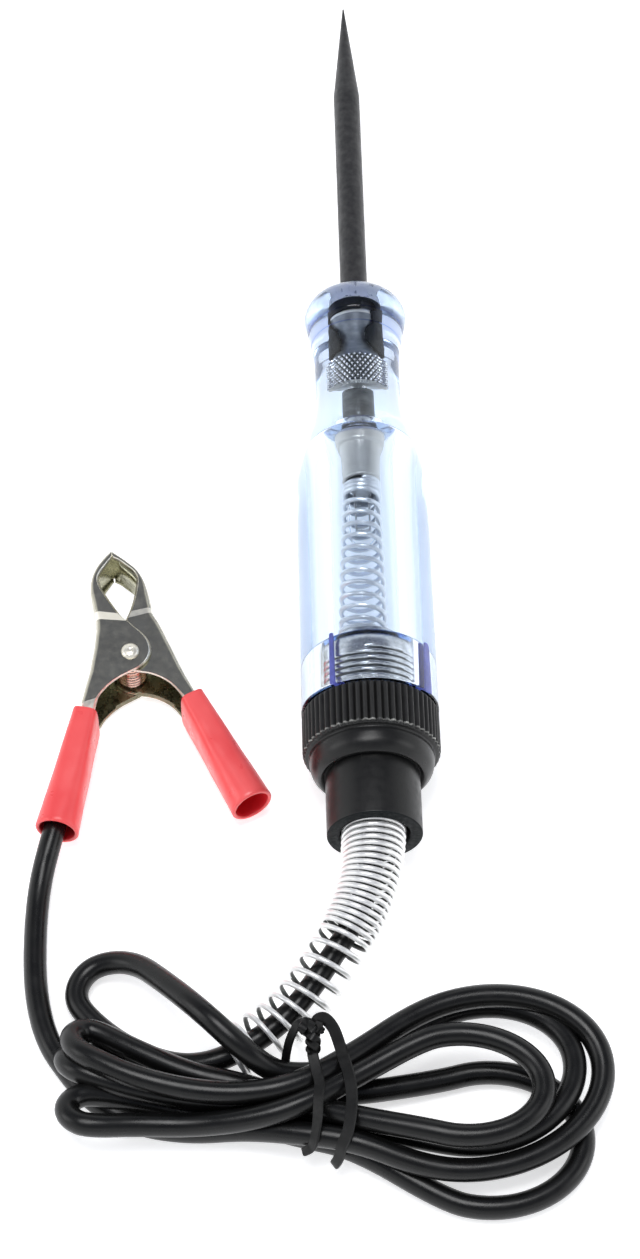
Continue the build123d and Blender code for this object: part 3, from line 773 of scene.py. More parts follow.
# ---------------------------------------------------------------- strain-relief spring
RELIEF_WIRE_R = 0.375
RELIEF_WIRE_SIDES = 12
RELIEF_START_S = 3.6
# Turns and pitch of the tight part and of the open part, and the turns in which one becomes the other.
RELIEF_TIGHT = (22, 0.9)
RELIEF_OPEN = (10, 2.5)
RELIEF_OPENING_TURNS = 1.5
# Radius at the cap, and from four fifths of the way on.
RELIEF_R = (4.3, 3.6)
RELIEF_TAPER = 1.25
STEPS_PER_TURN = 32
LINE_STEP = 0.25


def place_at(line, distance):
    """Frame at a distance in millimetres along a line that is sampled every LINE_STEP."""
    at = distance / LINE_STEP
    index = min(int(at), len(line) - 2)
    share = at - index
    (p0, s0, u0), (p1, s1, u1) = line[index], line[index + 1]
    return p0.lerp(p1, share), s0.lerp(s1, share).normalized(), u0.lerp(u1, share).normalized()


def relief_spring():
    """Close-wound at the cap, then open, round the cord."""
    axis = frames_along(resampled(CORD_LINE, LINE_STEP * MM))
    turns = RELIEF_TIGHT[0] + RELIEF_OPEN[0]
    line, middles = [], []
    travelled = RELIEF_START_S
    for step in range(turns * STEPS_PER_TURN + 1):
        turn = step / STEPS_PER_TURN
        share = turn / turns
        radius = mix(*RELIEF_R, min(1, share * RELIEF_TAPER))
        place, side, up = place_at(axis, travelled)
        angle = tau * turn
        line.append(place + (side * cos(angle) + up * sin(angle)) * radius * MM)
        middles.append(place)
        opening = clamped((turn - RELIEF_TIGHT[0]) / RELIEF_OPENING_TURNS)
        travelled += mix(RELIEF_TIGHT[1], RELIEF_OPEN[1], opening) / STEPS_PER_TURN
    mesh = wire_mesh("relief_spring", line, RELIEF_WIRE_R, RELIEF_WIRE_SIDES)
    coil = add_object("relief_spring", mesh, SPRING_STEEL)
    # Painted shade: the wire's faces that look at the coil's axis get dark metal, for the shade between
    # the turns.
    return line_inner_side(coil, middles, RELIEF_WIRE_SIDES, DARK_METAL_AND_SHADE)


relief = settle(relief_spring(), "root", "spring_steel", "strain_relief_spring")


# ---------------------------------------------------------------- knurled cap
RING_Y = (highest_y("knurled_cap"), -67.1)
RING_R = (outer_radius("knurled_cap"), 9.36)
ROLL_Y = (-70.95, RING_Y[1] - 0.15)
# Band at the ribs' ends next to the shoulder that gets the painted highlight.
RIB_HIGHLIGHT_Y = (RING_Y[1] + 0.28, RING_Y[1] + 0.5)
RIBS = 60
RIB_STEPS = 8


def rib_shape(index, radius, angle, along):
    """Rounded ribs on the ring, deepest between its two bevels."""
    if radius < RING_R[1] + 0.1 or along < RING_Y[1] - 0.05:
        return radius
    wave = 0.5 + 0.5 * cos(angle * RIBS)
    crest = wave**0.6
    return RING_R[1] + (radius - RING_R[1]) * crest


def cap_finish(face):
    """1 on the boot's dull end, 2 on the polished roll and 3 on the painted highlight at the ends of the
    ribs.
    """
    along = face.center.y / MM
    if along < BOOT_END_Y + 0.12:
        return 1
    if ROLL_Y[0] < along < ROLL_Y[1]:
        return 2
    return 3 if RIB_HIGHLIGHT_Y[0] < along < RIB_HIGHLIGHT_Y[1] else 0


def knurled_cap():
    """Cap: ribbed ring, rolled shoulder and a boot with an open mouth."""
    profile = rounded(
        [
            (6.6, RING_Y[0], 0),
            (9.45, RING_Y[0], 0.25),
            (RING_R[0], RING_Y[0] - 0.45, 0.3),
            (RING_R[0], RING_Y[1] + 0.5, 0.3),
            (9.5, RING_Y[1], 0.2),
            (8.75, RING_Y[1] - 0.15, 0.3),
            (8.85, RING_Y[1] - 0.9, 0.5),
            (8.55, -69.6, 1.3),
            (7.4, -70.9, 0.9),
            (6.62, -70.2, 0.25),
            (6.66, -72.5, 0.5),
            (6.66, BOOT_END_Y, 0.22),
            (4.9, BOOT_END_Y, 0.25),
            (4.85, -74.5, 0.3),
            (1.7, -74.5, 0),
            (1.7, -70.5, 0),
            (6.6, -66.5, 0),
        ],
        0.3,
    )
    angles = even_angles(RIBS * RIB_STEPS)
    made = turned_piece("cap", profile, BLACK_PLASTIC, sharp=50, angles=angles, shape=rib_shape)
    return paint(made, cap_finish, BLACK_RUBBER, POLISHED_PLASTIC, RIB_HIGHLIGHT_PLASTIC)


settle(knurled_cap(), "root", "black_plastic", "knurled_cap")


# ---------------------------------------------------------------- tie
TIE_RIGHT = [
    (-9.0, -109.0, 10.9),
    (-8.4, -108.5, 11.5),
    (-7.5, -108.7, 11.8),
    (-6.5, -110.0, 11.6),
    (-5.8, -111.8, 10.9),
    (-5.3, -113.0, 9.6),
    (-4.9, -114.4, 9.3),
    (-4.5, -116.2, 9.4),
    (-4.3, -118.6, 9.0),
    (-4.5, -121.0, 8.6),
    (-5.0, -123.2, 7.9),
    (-5.7, -124.4, 6.8),
    (-6.1, -125.3, 5.2),
    (-6.6, -125.7, 3.9),
    (-6.9, -125.6, 3.1),
]
TIE_LEFT = [
    (-9.2, -112.0, 10.9),
    (-9.3, -113.0, 10.2),
    (-8.9, -114.9, 9.8),
    (-8.5, -116.8, 9.4),
    (-8.7, -118.8, 9.1),
    (-8.8, -120.8, 8.3),
    (-9.0, -122.3, 7.8),
    (-9.3, -123.7, 7.0),
    (-9.8, -124.3, 5.8),
    (-10.9, -124.5, 4.9),
]
TIE_ARCH = [
    (-9.4, -108.9, 11.2),
    (-10.3, -108.9, 11.6),
    (-11.3, -109.3, 11.2),
    (-12.1, -110.1, 9.8),
    (-12.6, -110.9, 8.0),
    (-12.9, -111.8, 5.6),
    (-12.6, -112.3, 3.4),
]
TIE_THICKNESS = 0.62


def tie_section(width, thickness):
    """Flat strip with a round rib along its middle, over the hidden wire."""
    half, rise = width / 2, thickness / 2
    rib = rise + 0.22
    return [
        (-half, 0.0),
        (-half * 0.85, rise * 0.8),
        (-half * 0.42, rise * 0.75),
        (-half * 0.2, rib),
        (half * 0.2, rib),
        (half * 0.42, rise * 0.75),
        (half * 0.85, rise * 0.8),
        (half, 0.0),
        (half * 0.85, -rise * 0.8),
        (-half * 0.85, -rise * 0.8),
    ]


def tie_strip(name, controls, width, roll=0.0):
    """Strip along a line. roll turns it about the line, in whole turns, from end to end."""
    line = resampled(smooth_line(controls), LINE_STEP * MM)
    section = tie_section(width, TIE_THICKNESS)
    last = len(line) - 1

    def turned_section(index):
        angle = tau * roll * index / last
        size = 0.75 if index in (0, last) else 1 - 0.9 * max(0, index / last - 0.85)
        return [
            (size * (a * cos(angle) - b * sin(angle)), size * (a * sin(angle) + b * cos(angle)))
            for a, b in section
        ]

    return add_object(name, swept_mesh(name, line, turned_section), TIE_PLASTIC, sharp=40)


def knot_strand(name, start, end, radius, turns, phase, width):
    """One strand of a twisted pair, wound round the run from start to end."""
    axis = Vector(end) - Vector(start)
    side = axis.cross(Vector((0, 0, 1))).normalized()
    up = side.cross(axis).normalized()
    controls = []
    for share in shares(int(turns * 8)):
        angle = tau * (turns * share + phase)
        offset = (side * cos(angle) + up * sin(angle)) * radius
        controls.append(tuple(Vector(start) + axis * share + offset))
    return tie_strip(name, controls, width, roll=turns * 0.35)


tie_pieces = [
    tie_strip("tie_right", TIE_RIGHT, 1.7),
    tie_strip("tie_left", TIE_LEFT, 1.5, roll=0.12),
    tie_strip("tie_arch", TIE_ARCH, 1.25, roll=-0.1),
]
for number, phase in enumerate((0.0, 0.5)):
    # Start, end, radius of the twist, its turns, its phase and the strand's width.
    strand_a = (-10.9, -109.6, 11.1), (-7.9, -109.5, 11.3), 0.55, 1.5, phase, 1.3
    strand_b = (-9.3, -109.9, 11.3), (-9.2, -112.9, 10.5), 0.5, 1.5, phase + 0.2, 1.2
    tie_pieces.append(knot_strand(f"tie_knot_{number}", *strand_a))
    tie_pieces.append(knot_strand(f"tie_twist_{number}", *strand_b))
for piece in tie_pieces:
    settle(piece, "root", "tie_plastic", "cord_tie")


# ---------------------------------------------------------------- clip: folded jaws
CLIP_Z = 4.55
PLATE = 0.6
NOSE_HALF = 3.35
THROAT_HALF = 3.3
FIXED_HALF = 4.1
MOVING_HALF = 3.45
# Where the pressed steps are, counted in stations from the nose.
FIXED_CREASE = (5.62, 6.5)
MOVING_CREASE = (6.38, 7.0)
THROAT_START = 15.9
THROAT_LENGTH = 0.4
# Each station of a jaw: a point on its folded outer edge, and one on its open inner edge.
FIXED_STATIONS = [
    ((-37.35, -29.2), (-37.15, -30.5)),
    ((-38.6, -30.7), (-38.0, -31.9)),
    ((-39.5, -32.3), (-38.7, -33.1)),
    ((-40.1, -34.3), (-39.0, -34.2)),
    ((-40.2, -36.5), (-38.5, -36.0)),
    ((-39.8, -38.8), (-36.9, -38.9)),
    ((-39.4, -40.8), (-35.2, -41.5)),
    ((-39.2, -43.0), (-33.8, -43.1)),
    ((-39.3, -44.7), (-32.5, -44.4)),
    ((-39.4, -46.2), (-31.6, -45.7)),
    ((-39.6, -47.8), (-31.2, -47.4)),
    ((-39.8, -49.1), (-31.6, -49.0)),
    ((-40.0, -50.7), (-32.6, -50.2)),
    ((-40.3, -52.0), (-34.1, -51.1)),
    ((-40.6, -53.3), (-35.9, -52.2)),
    ((-40.9, -54.8), (-37.5, -53.7)),
    ((-41.3, -56.6), (-38.8, -55.8)),
    ((-41.9, -60.0), (-39.8, -60.2)),
    ((-42.4, -63.0), (-40.6, -63.4)),
]
MOVING_STATIONS = [
    ((-37.15, -29.2), (-37.0, -30.6)),
    ((-35.9, -30.3), (-36.0, -31.2)),
    ((-34.8, -31.3), (-35.2, -31.9)),
    ((-33.5, -32.7), (-34.0, -33.0)),
    ((-32.4, -34.6), (-33.5, -34.3)),
    ((-31.7, -36.8), (-33.7, -36.9)),
    ((-31.3, -38.8), (-34.2, -39.4)),
    ((-31.0, -40.4), (-34.9, -41.5)),
    ((-30.2, -41.9), (-35.6, -44.0)),
    ((-29.5, -43.4), (-36.4, -45.7)),
    ((-28.8, -45.1), (-36.9, -47.5)),
    ((-27.9, -47.2), (-36.2, -49.6)),
    ((-27.0, -49.4), (-33.6, -50.6)),
    ((-26.2, -51.2), (-31.6, -51.0)),
    ((-25.4, -52.9), (-29.9, -51.7)),
    ((-24.7, -54.3), (-28.3, -52.9)),
    ((-24.1, -55.6), (-26.6, -55.2)),
    ((-22.7, -58.5), (-24.6, -59.0)),
    ((-21.4, -61.2), (-23.3, -61.8)),
]
STATION_STEPS = 10
EDGE_BEVEL = 0.34
FOLD_R = 0.9
FOLD_STEPS = 8


def station_line(stations, end):
    """Smooth line through one end of every station, in the plan's own millimetres."""
    line = smooth_line([(*station[end], 0.0) for station in stations], STATION_STEPS)
    return [place / MM for place in line]


def fold_section(outer, inner, half):
    """Half of a C-shaped section, from the inner edge's bevel to the middle of the wall."""
    reach = inner - outer
    width = reach.length
    inward = reach.normalized()
    bend = min(FOLD_R, width * 0.45, half * 0.5)
    bevel = min(EDGE_BEVEL, (width - bend) * 0.6)
    places = [(inner, half - bevel * 0.8), (inner - inward * bevel, half)]
    for share in shares(FOLD_STEPS):
        angle = pi / 2 * share
        sideways = bend * (1 - sin(angle))
        places.append((outer + inward * sideways, half - bend * (1 - cos(angle))))
    places.append((outer, 0.0))
    return places


def jaw_rows(stations, body_half, crease):
    """Sections along a jaw. Its nose is lower than its body, past a pressed crease."""
    rows = []
    edges = zip(station_line(stations, 0), station_line(stations, 1))
    for index, (outer, inner) in enumerate(edges):
        at = index / STATION_STEPS
        rise = clamped((at - crease[0]) / (crease[1] - crease[0]))
        throat = clamped((at - THROAT_START) / THROAT_LENGTH)
        half = mix(mix(NOSE_HALF, body_half, rise), THROAT_HALF, throat)
        section = fold_section(outer, inner, half)
        upper = [point(place.x, place.y, CLIP_Z + height) for place, height in section]
        lower = [point(place.x, place.y, CLIP_Z - height) for place, height in reversed(section[:-1])]
        rows.append(upper + lower)
    return rows


def jaw(name, stations, body_half, crease, flip=False):
    """Jaw of folded sheet, bright on its sheared edges, with a painted highlight on its pressed steps."""
    rows = jaw_rows(stations, body_half, crease)
    vertices = [place for row in rows for place in row]
    count = len(rows[0])
    faces = []
    step_highlight_or_edge = []
    for r in range(len(rows) - 1):
        at = (r + 0.5) / STATION_STEPS
        # Pressed steps get the painted highlight of the bright edge metal.
        on_step = crease[0] < at < crease[1] or THROAT_START < at < THROAT_START + THROAT_LENGTH
        for c in range(count - 1):
            a, b = r * count + c, (r + 1) * count + c
            faces.append((a, a + 1, b + 1, b))
            step_highlight_or_edge.append(on_step or c in (0, count - 2))
    if flip:
        faces = [tuple(reversed(face)) for face in faces]
    mesh = bpy.data.meshes.new(name)
    mesh.from_pydata(vertices, [], faces)
    made = add_object(name, mesh, CLIP_CHROME, sharp=16)
    paint(made, lambda face: int(step_highlight_or_edge[face.index]), CLIP_EDGE_AND_HIGHLIGHT, CLIP_INSIDE)
    sheet = thicken(made, PLATE, -1)
    sheet.material_offset_rim = 1
    # The sheet's inner side gets the painted shade of CLIP_INSIDE.
    sheet.material_offset = 2
    return made


fixed_jaw = jaw("fixed_jaw", FIXED_STATIONS, FIXED_HALF, FIXED_CREASE)
moving_jaw = jaw("moving_jaw", MOVING_STATIONS, MOVING_HALF, MOVING_CREASE, flip=True)
settle(fixed_jaw, "root", "clip_chrome", "clip_fixed_jaw")
settle(moving_jaw, "clip_jaw", "clip_chrome", "clip_moving_jaw")


# ---------------------------------------------------------------- clip: vinyl sleeves
FIXED_SLEEVE = ((-40.55, -57.1), (-44.35, -75.0))
MOVING_SLEEVE = ((-25.3, -54.9), (-16.9, -71.5))
SLEEVE_WALL = 0.6
SLEEVE_SIDES = 64
# Along the sleeve, as a share of its length: across, tall and how square the section is.
SLEEVE_SECTIONS = [
    (0.0, 3.75, 8.6, 5.0),
    (0.25, 4.3, 8.1, 4.2),
    (0.6, 5.35, 7.2, 2.8),
    (1.0, 6.38, 6.38, 2.0),
]
SLEEVE_STEPS = 40


def sleeve_size(share):
    """Half widths and squareness at a share of the sleeve's length."""
    spans = zip(SLEEVE_SECTIONS, SLEEVE_SECTIONS[1:])
    (s0, *low), (s1, *high) = next(span for span in spans if share <= span[1][0])
    part = (share - s0) / (s1 - s0)
    across, tall, power = (mix(a, b, part) for a, b in zip(low, high))
    return across / 2, tall / 2, power


def vinyl_sleeve(name, ends, seed):
    """Soft sleeve with a thin rounded lip, dented here and there."""
    start, end = (Vector((*place, CLIP_Z)) for place in ends)
    length = (end - start).length
    ahead = (end - start).normalized()
    side = ahead.cross(Vector((0, 0, 1)))
    to_lip = 1 - 0.2 / length
    outside = [(share * to_lip, 0.0) for share in shares(SLEEVE_STEPS)]
    lip = [(1 - 0.05 / length, 0.1), (1.0, SLEEVE_WALL / 2), (1 - 0.05 / length, SLEEVE_WALL - 0.1)]
    inside = [(share, SLEEVE_WALL) for share, _ in reversed(outside)]
    rows = []
    for share, wall in outside + lip + inside:
        across, tall, power = sleeve_size(share)
        row = []
        for angle in even_angles(SLEEVE_SIDES):
            c, s = cos(angle), sin(angle)
            reach = (abs(c) ** power + abs(s) ** power) ** (-1 / power)
            dent = noise.noise(Vector((c * 0.9 + seed, s * 0.9, share * 3.5)))
            dent *= sin(pi * share) ** 0.5
            size = reach * (0.985 - 0.03 * max(0.0, dent + 0.2))
            width = (across - wall) * c * size
            height = (tall - wall) * s * size
            row.append((start + ahead * length * share + side * width + Vector((0, 0, height))) * MM)
        rows.append(row)
    made = add_object(name, grid_mesh(name, rows), RED_VINYL, sharp=60)
    # The inside faces get the painted shade of VINYL_INSIDE.
    first_inside = (len(outside) + len(lip)) * SLEEVE_SIDES
    return paint(made, lambda face: int(face.index >= first_inside), VINYL_INSIDE)


fixed_grip = vinyl_sleeve("fixed_grip", FIXED_SLEEVE, 0.0)
moving_grip = vinyl_sleeve("moving_grip", MOVING_SLEEVE, 7.0)
settle(fixed_grip, "root", "red_vinyl", "clip_sleeve_fixed")
settle(moving_grip, "clip_jaw", "red_vinyl", "clip_sleeve_moving")


# ---------------------------------------------------------------- clip: rivet and torsion spring
PIVOT = (-34.2, -47.7)
TORSION_LEG = 4.8


def rivet():
    """Shank with two domed heads, each with a small stamped hollow."""
    edge = FIXED_HALF
    profile = [
        (0, -edge - 0.3),
        (0.35, -edge - 0.28),
        (0.5, -edge - 0.4),
        (0.95, -edge - 0.34),
        (1.28, -edge - 0.15),
        (1.3, -edge),
        (0.98, -edge),
        (0.98, edge),
        (1.3, edge),
        (1.28, edge + 0.15),
        (0.95, edge + 0.42),
        (0.5, edge + 0.55),
        (0.35, edge + 0.4),
        (0, edge + 0.42),
    ]

    def stamped(index, radius, angle, along):
        return radius * (1 + 0.05 * sin(2 * angle + 0.6)) if radius < 0.7 else radius

    how = {"angles": even_angles(48), "shape": stamped, "place": upright(*PIVOT, CLIP_Z)}
    return turned_piece("rivet", profile, CLIP_EDGE_AND_HIGHLIGHT, sharp=50, **how)


def torsion_spring():
    """Coil round the rivet, with a leg against the wall of each handle."""
    turns, radius, wire = 7.5, 1.85, 0.25
    low, high = -2.45, 2.3
    start_angle = radians(-30)
    on_pivot = upright(*PIVOT, CLIP_Z)
    controls = []
    for share in shares(int(turns * 24)):
        controls.append(on_pivot(radius, start_angle - share * tau * turns, mix(high, low, share)))
    first, second = controls[0], controls[1]
    last, before = controls[-1], controls[-2]
    leg = [share * TORSION_LEG * MM for share in shares(8)[1:]]
    lead_in = [first + (first - second).normalized() * reach for reach in reversed(leg)]
    lead_out = [last + (last - before).normalized() * reach for reach in leg]
    mesh = wire_mesh("torsion_spring", lead_in + controls + lead_out, wire)
    return add_object("torsion_spring", mesh, COPPER)


pivot = settle(rivet(), "root", "clip_chrome", "clip_rivet_pin")
torsion = settle(torsion_spring(), "root", "spring_steel", "clip_spring")


# ---------------------------------------------------------------- clear handle
SLEEVE_FRONT_Y = highest_y("threaded_sleeve")
SHOULDER_Y = (-4.3, -21.5)
SHOULDER_STEPS = 24
NECK_R = 6.45
BORE_R = 4.9
MOUTH_R = outer_radius("threaded_sleeve") + 0.15
HIDDEN_BORE_R = 0.8
CONTACT_END_Y = lowest_y("probe_contact")
FLANGE_TOP_Y = highest_y("bulb_base")
FROSTED_Y = 13.4
MOULDED_RINGS = ((6.74, 6.91), (9.24, 9.41))
CAST_IN = 0.9 / 1.47


def shoulder_line():
    """The long shoulder between the neck and the barrel, as (radius, y)."""
    line = []
    for share in shares(SHOULDER_STEPS)[1:-1]:
        ease = 3 * share**2 - 2 * share**3
        line.append((mix(NECK_R, BARREL_R, ease), mix(*SHOULDER_Y, share)))
    return line


def handle_finish(face):
    """1 on the frosted front and 2 for the painted shade on the moulded rings."""
    along = face.center.y / MM
    if along > FROSTED_Y:
        return 1
    return 2 if any(low < along < high for low, high in MOULDED_RINGS) else 0


def clear_handle():
    """Clear body. The pieces held in its collar are cast in, so their own surfaces show."""
    profile = rounded(
        [
            (HIDDEN_BORE_R, FRONT_Y, 0),
            (3.4, FRONT_Y, 0.8),
            (6.9, 14.7, 1.6),
            (8.05, 12.5, 1.3),
            (7.28, 9.4, 0.05),
            (7.22, 9.25, 0.05),
            (6.94, 6.9, 0.05),
            (6.88, 6.75, 0.05),
            (NECK_R + 0.03, 4.0, 1.5),
            (NECK_R, SHOULDER_Y[0], 0),
            *((radius, y, 0) for radius, y in shoulder_line()),
            (BARREL_R, SHOULDER_Y[1], 0),
            (BARREL_R, BARREL_END_Y, 0.3),
            (MOUTH_R, BARREL_END_Y, 0.2),
            (MOUTH_R, SLEEVE_FRONT_Y + 0.4, 0.2),
            (BORE_R, SLEEVE_FRONT_Y + 0.6, 0.3),
            (BORE_R, FLANGE_TOP_Y + 0.2, 0.5),
            (2.1, FLANGE_TOP_Y + 0.5, 0.3),
            (2.1, CONTACT_END_Y, 0.4),
            (HIDDEN_BORE_R, CONTACT_END_Y, 0),
        ],
        0.3,
        5,
    )
    angles = even_angles(160)
    made = turned_piece("clear_handle", supported(profile), CLEAR_PLASTIC, sharp=70, angles=angles)
    return paint(made, handle_finish, FROSTED_PLASTIC, RING_SHADE_PLASTIC)


BORE_SLOT_Y = (SLEEVE_FRONT_Y + 0.7, BARREL_END_Y + 0.7)
# The angle of each slot in degrees, and its half width.
BORE_SLOTS = ((-40, 0.27), (69, 0.52))
BORE_SLOT_R = 7.15


def bore_slot(number, angle, half):
    """Opaque deep blue bar with round ends: painted shade for a moulded slot in the mouth's wall."""
    places = []
    arc = 8
    high, low = BORE_SLOT_Y
    ends = ((half, high - half, 0), (half * 1.4, low + 0.6, pi))
    for radius, middle, start in ends:
        for share in shares(arc):
            turn = start + pi * share
            places.append((radius * cos(turn), middle + radius * sin(turn)))
    rows = []
    for depth in (0.0, 0.3):
        row = []
        for across, along in places:
            turn = radians(angle) + across / BORE_SLOT_R
            row.append(on_axis(BORE_SLOT_R + depth, turn, along))
        rows.append(row)
    mesh = grid_mesh(f"bore_slot_{number}", rows, close_columns=False, cap_ends=True)
    return add_object(f"bore_slot_{number}", mesh, SLOT_SHADE_PLASTIC)


settle(clear_handle(), "handle", "clear_plastic", "handle_body")
for number, (angle, half) in enumerate(BORE_SLOTS):
    settle(bore_slot(number, angle, half), "handle", "clear_plastic")


# ---------------------------------------------------------------- metal in the collar
INSERT_Y = (highest_y("knurled_insert"), lowest_y("knurled_insert"))
INSERT_SHRINK = 0.93
KNURLS_ROUND = 26
KNURL_PITCH = 1.2
KNURL_DEPTH = 0.4
KNURL_VALLEY = 0.3


def zigzag(value):
    """0 in the valleys and 1 on the crests of a repeating slope."""
    return 1 - abs(2 * (value % 1.0) - 1)


def knurl_height(angle, along):
    """0 in the valleys and 1 on the diamonds."""
    round_share = angle / tau * KNURLS_ROUND
    one = zigzag(round_share + along / KNURL_PITCH)
    other = zigzag(round_share - along / KNURL_PITCH)
    return min(1, min(one, other) * 1.3)


def knurled_bush():
    """Bush with a diamond knurl and a plain bevel at each end."""
    outer = outer_radius("knurled_insert") * INSERT_SHRINK
    high, low = INSERT_Y[0] - 0.3, INSERT_Y[1] + 0.9
    angles = even_angles(KNURLS_ROUND * 8)
    rows = [ring_of(0.5, angles, high), ring_of(outer * 0.8, angles, high)]
    for share in shares(60):
        along = mix(high - 0.25, low + 0.25, share)
        row = []
        for angle in angles:
            valley = KNURL_DEPTH * (1 - knurl_height(angle, along))
            row.append(on_axis(outer - valley, angle, along))
        rows.append(row)
    rows.append(ring_of(outer * 0.7, angles, low - 0.3))
    rows.append(ring_of(0.5, angles, low - 0.5))
    mesh = grid_mesh("knurled_bush", rows, close_columns=False, cap_ends=True)

    def bush_finish(face):
        """1 for painted shade in the knurl's valleys and 2 on the bright end."""
        if face.center.y < low * MM:
            return 2
        return int(reach_of(face) < outer - KNURL_DEPTH * (1 - KNURL_VALLEY))

    made = add_object("knurled_bush", mesh, NICKEL, sharp=25)
    return paint(made, bush_finish, DARK_METAL_AND_SHADE, PRESSED_SHELL)


STEM_RIM_Y = 10.75


def probe_stem():
    """Vase-shaped root of the probe between the bush and its shoulder."""
    profile = rounded(
        [
            (0.5, INSERT_Y[0] - 0.5, 0),
            (2.3, INSERT_Y[0] - 0.5, 0.2),
            (1.46, INSERT_Y[0] + 2.4, 1.5),
            (1.46, 6.4, 1.0),
            (2.3, 10.7, 0.2),
            (2.38, 11.2, 0.2),
            (1.95, 11.75, 0.1),
            (0.5, 11.75, 0),
        ],
        0.3,
        6,
    )
    angles = even_angles(64)
    made = turned_piece("probe_stem", supported(profile), STEM_METAL, angles=angles)
    return paint(made, lambda face: int(face.center.y > STEM_RIM_Y * MM), PRESSED_SHELL)


SEAL_Y = (highest_y("probe_seal"), lowest_y("probe_seal"))
# Torn window in the seal: heights, with the angles of its left and right edge.
SEAL_WINDOW = [
    (3.6, -48, 62),
    (4.4, -46, 40),
    (5.5, -50, 26),
    (7.4, -54, 24),
    (8.4, -66, 36),
    (9.3, -88, 50),
    (10.3, -94, 48),
    (11.3, -94, 42),
    (11.5, 14, 62),
    (13.2, 17, 60),
    (13.5, 34, 46),
]
SEAL_SHRINK = 0.82
SEAL_THICKNESS = 0.3


def window_at(along):
    """Left and right edge of the window at a height, or nothing above and below it."""
    for (y0, left0, right0), (y1, left1, right1) in zip(SEAL_WINDOW, SEAL_WINDOW[1:]):
        if y0 <= along <= y1:
            share = (along - y0) / (y1 - y0)
            return mix(left0, left1, share), mix(right0, right1, share)
    return None


def torn_seal():
    """Black sleeve round the probe's root, torn open on top."""
    outer = outer_radius("probe_seal") * SEAL_SHRINK
    columns, rows = 144, 72
    vertices, faces = [], []
    for r in range(rows + 1):
        along = mix(SEAL_Y[1], SEAL_Y[0], r / rows)
        for c in range(columns):
            angle = tau * c / columns
            rough = noise.noise(Vector((cos(angle) * 2.2, sin(angle) * 2.2, along * 0.9)))
            vertices.append(on_axis(outer - 0.03 + 0.06 * rough, angle, along))
    for r in range(rows):
        along = mix(SEAL_Y[1], SEAL_Y[0], (r + 0.5) / rows)
        edges = window_at(along)
        for c in range(columns):
            degrees = (c + 0.5) / columns * 360
            degrees -= 360 if degrees > 180 else 0
            ragged = 4 * noise.noise(Vector((degrees * 0.08, along * 2.5, 3.0)))
            if edges and edges[0] < degrees + ragged < edges[1]:
                continue
            a, b = r * columns, (r + 1) * columns
            d = (c + 1) % columns
            faces.append((a + c, a + d, b + d, b + c))
    mesh = bpy.data.meshes.new("torn_seal")
    mesh.from_pydata(vertices, [], faces)
    made = add_object("torn_seal", mesh, BLACK_RUBBER, sharp=60)
    thicken(made, SEAL_THICKNESS, 1)
    return made


def front_filler():
    """Pale sealing compound round the probe at the collar's front."""
    start, end = SEAL_Y[0], FRONT_Y - 0.1
    profile = rounded([(0.6, start, 0), (2.45, start, 0.3), (2.3, end, 0.5), (0.6, end, 0)], 0.2)

    def lumpy(index, radius, angle, along):
        return radius * (1 + 0.06 * noise.noise(Vector((cos(angle) * 2, sin(angle) * 2, along))))

    return turned_piece("front_filler", profile, PALE_FILLER, shape=lumpy)


def contact_slug():
    """Round-cornered contact under the bush."""
    radius = outer_radius("probe_contact") * CAST_IN
    high, low = highest_y("probe_contact"), lowest_y("probe_contact")
    profile = rounded([(0, high, 0), (radius, high, 0.75), (radius, low, 0.75), (0, low, 0)], 0.5, 6)
    return turned_piece("contact_slug", profile, DARK_METAL_AND_SHADE, angles=even_angles(64))


settle(knurled_bush(), "handle", "nickel", "knurled_insert")
settle(probe_stem(), "handle", "dark_metal")
settle(torn_seal(), "handle", "black_rubber", "probe_seal")
settle(front_filler(), "handle", "black_rubber")
settle(contact_slug(), "handle", "dark_metal", "probe_contact")


# ---------------------------------------------------------------- bulb and contact spring
BULB_FLANGE_SHARE = 0.92


def bulb_shell():
    """Pressed shell of the bulb: rolled flange, then a slightly tapered skirt with a bead."""
    top = highest_y("bulb_base")
    flange = outer_radius("bulb_base") * BULB_FLANGE_SHARE
    profile = rounded(
        [
            (2.45, top + 0.1, 0.1),
            (flange - 0.5, top, 0.3),
            (flange, top - 0.7, 0.5),
            (flange, top - 2.2, 0.25),
            (3.0, top - 2.55, 0.1),
            (2.98, top - 3.2, 0.1),
            (2.84, BULB_SHELL_END_Y + 0.5, 0.1),
            (2.92, BULB_SHELL_END_Y + 0.25, 0.1),
            (2.74, BULB_SHELL_END_Y, 0.1),
            (2.4, BULB_SHELL_END_Y, 0.05),
            (2.4, top - 1.0, 0.1),
        ],
        0.3,
        5,
    )
    return turned_piece("bulb_shell", supported(profile), PRESSED_SHELL, angles=even_angles(80))


SPRING_WIRE_R = 0.35
SPRING_END_R = (2.55, 3.3)
SPRING_BOW = 0.6


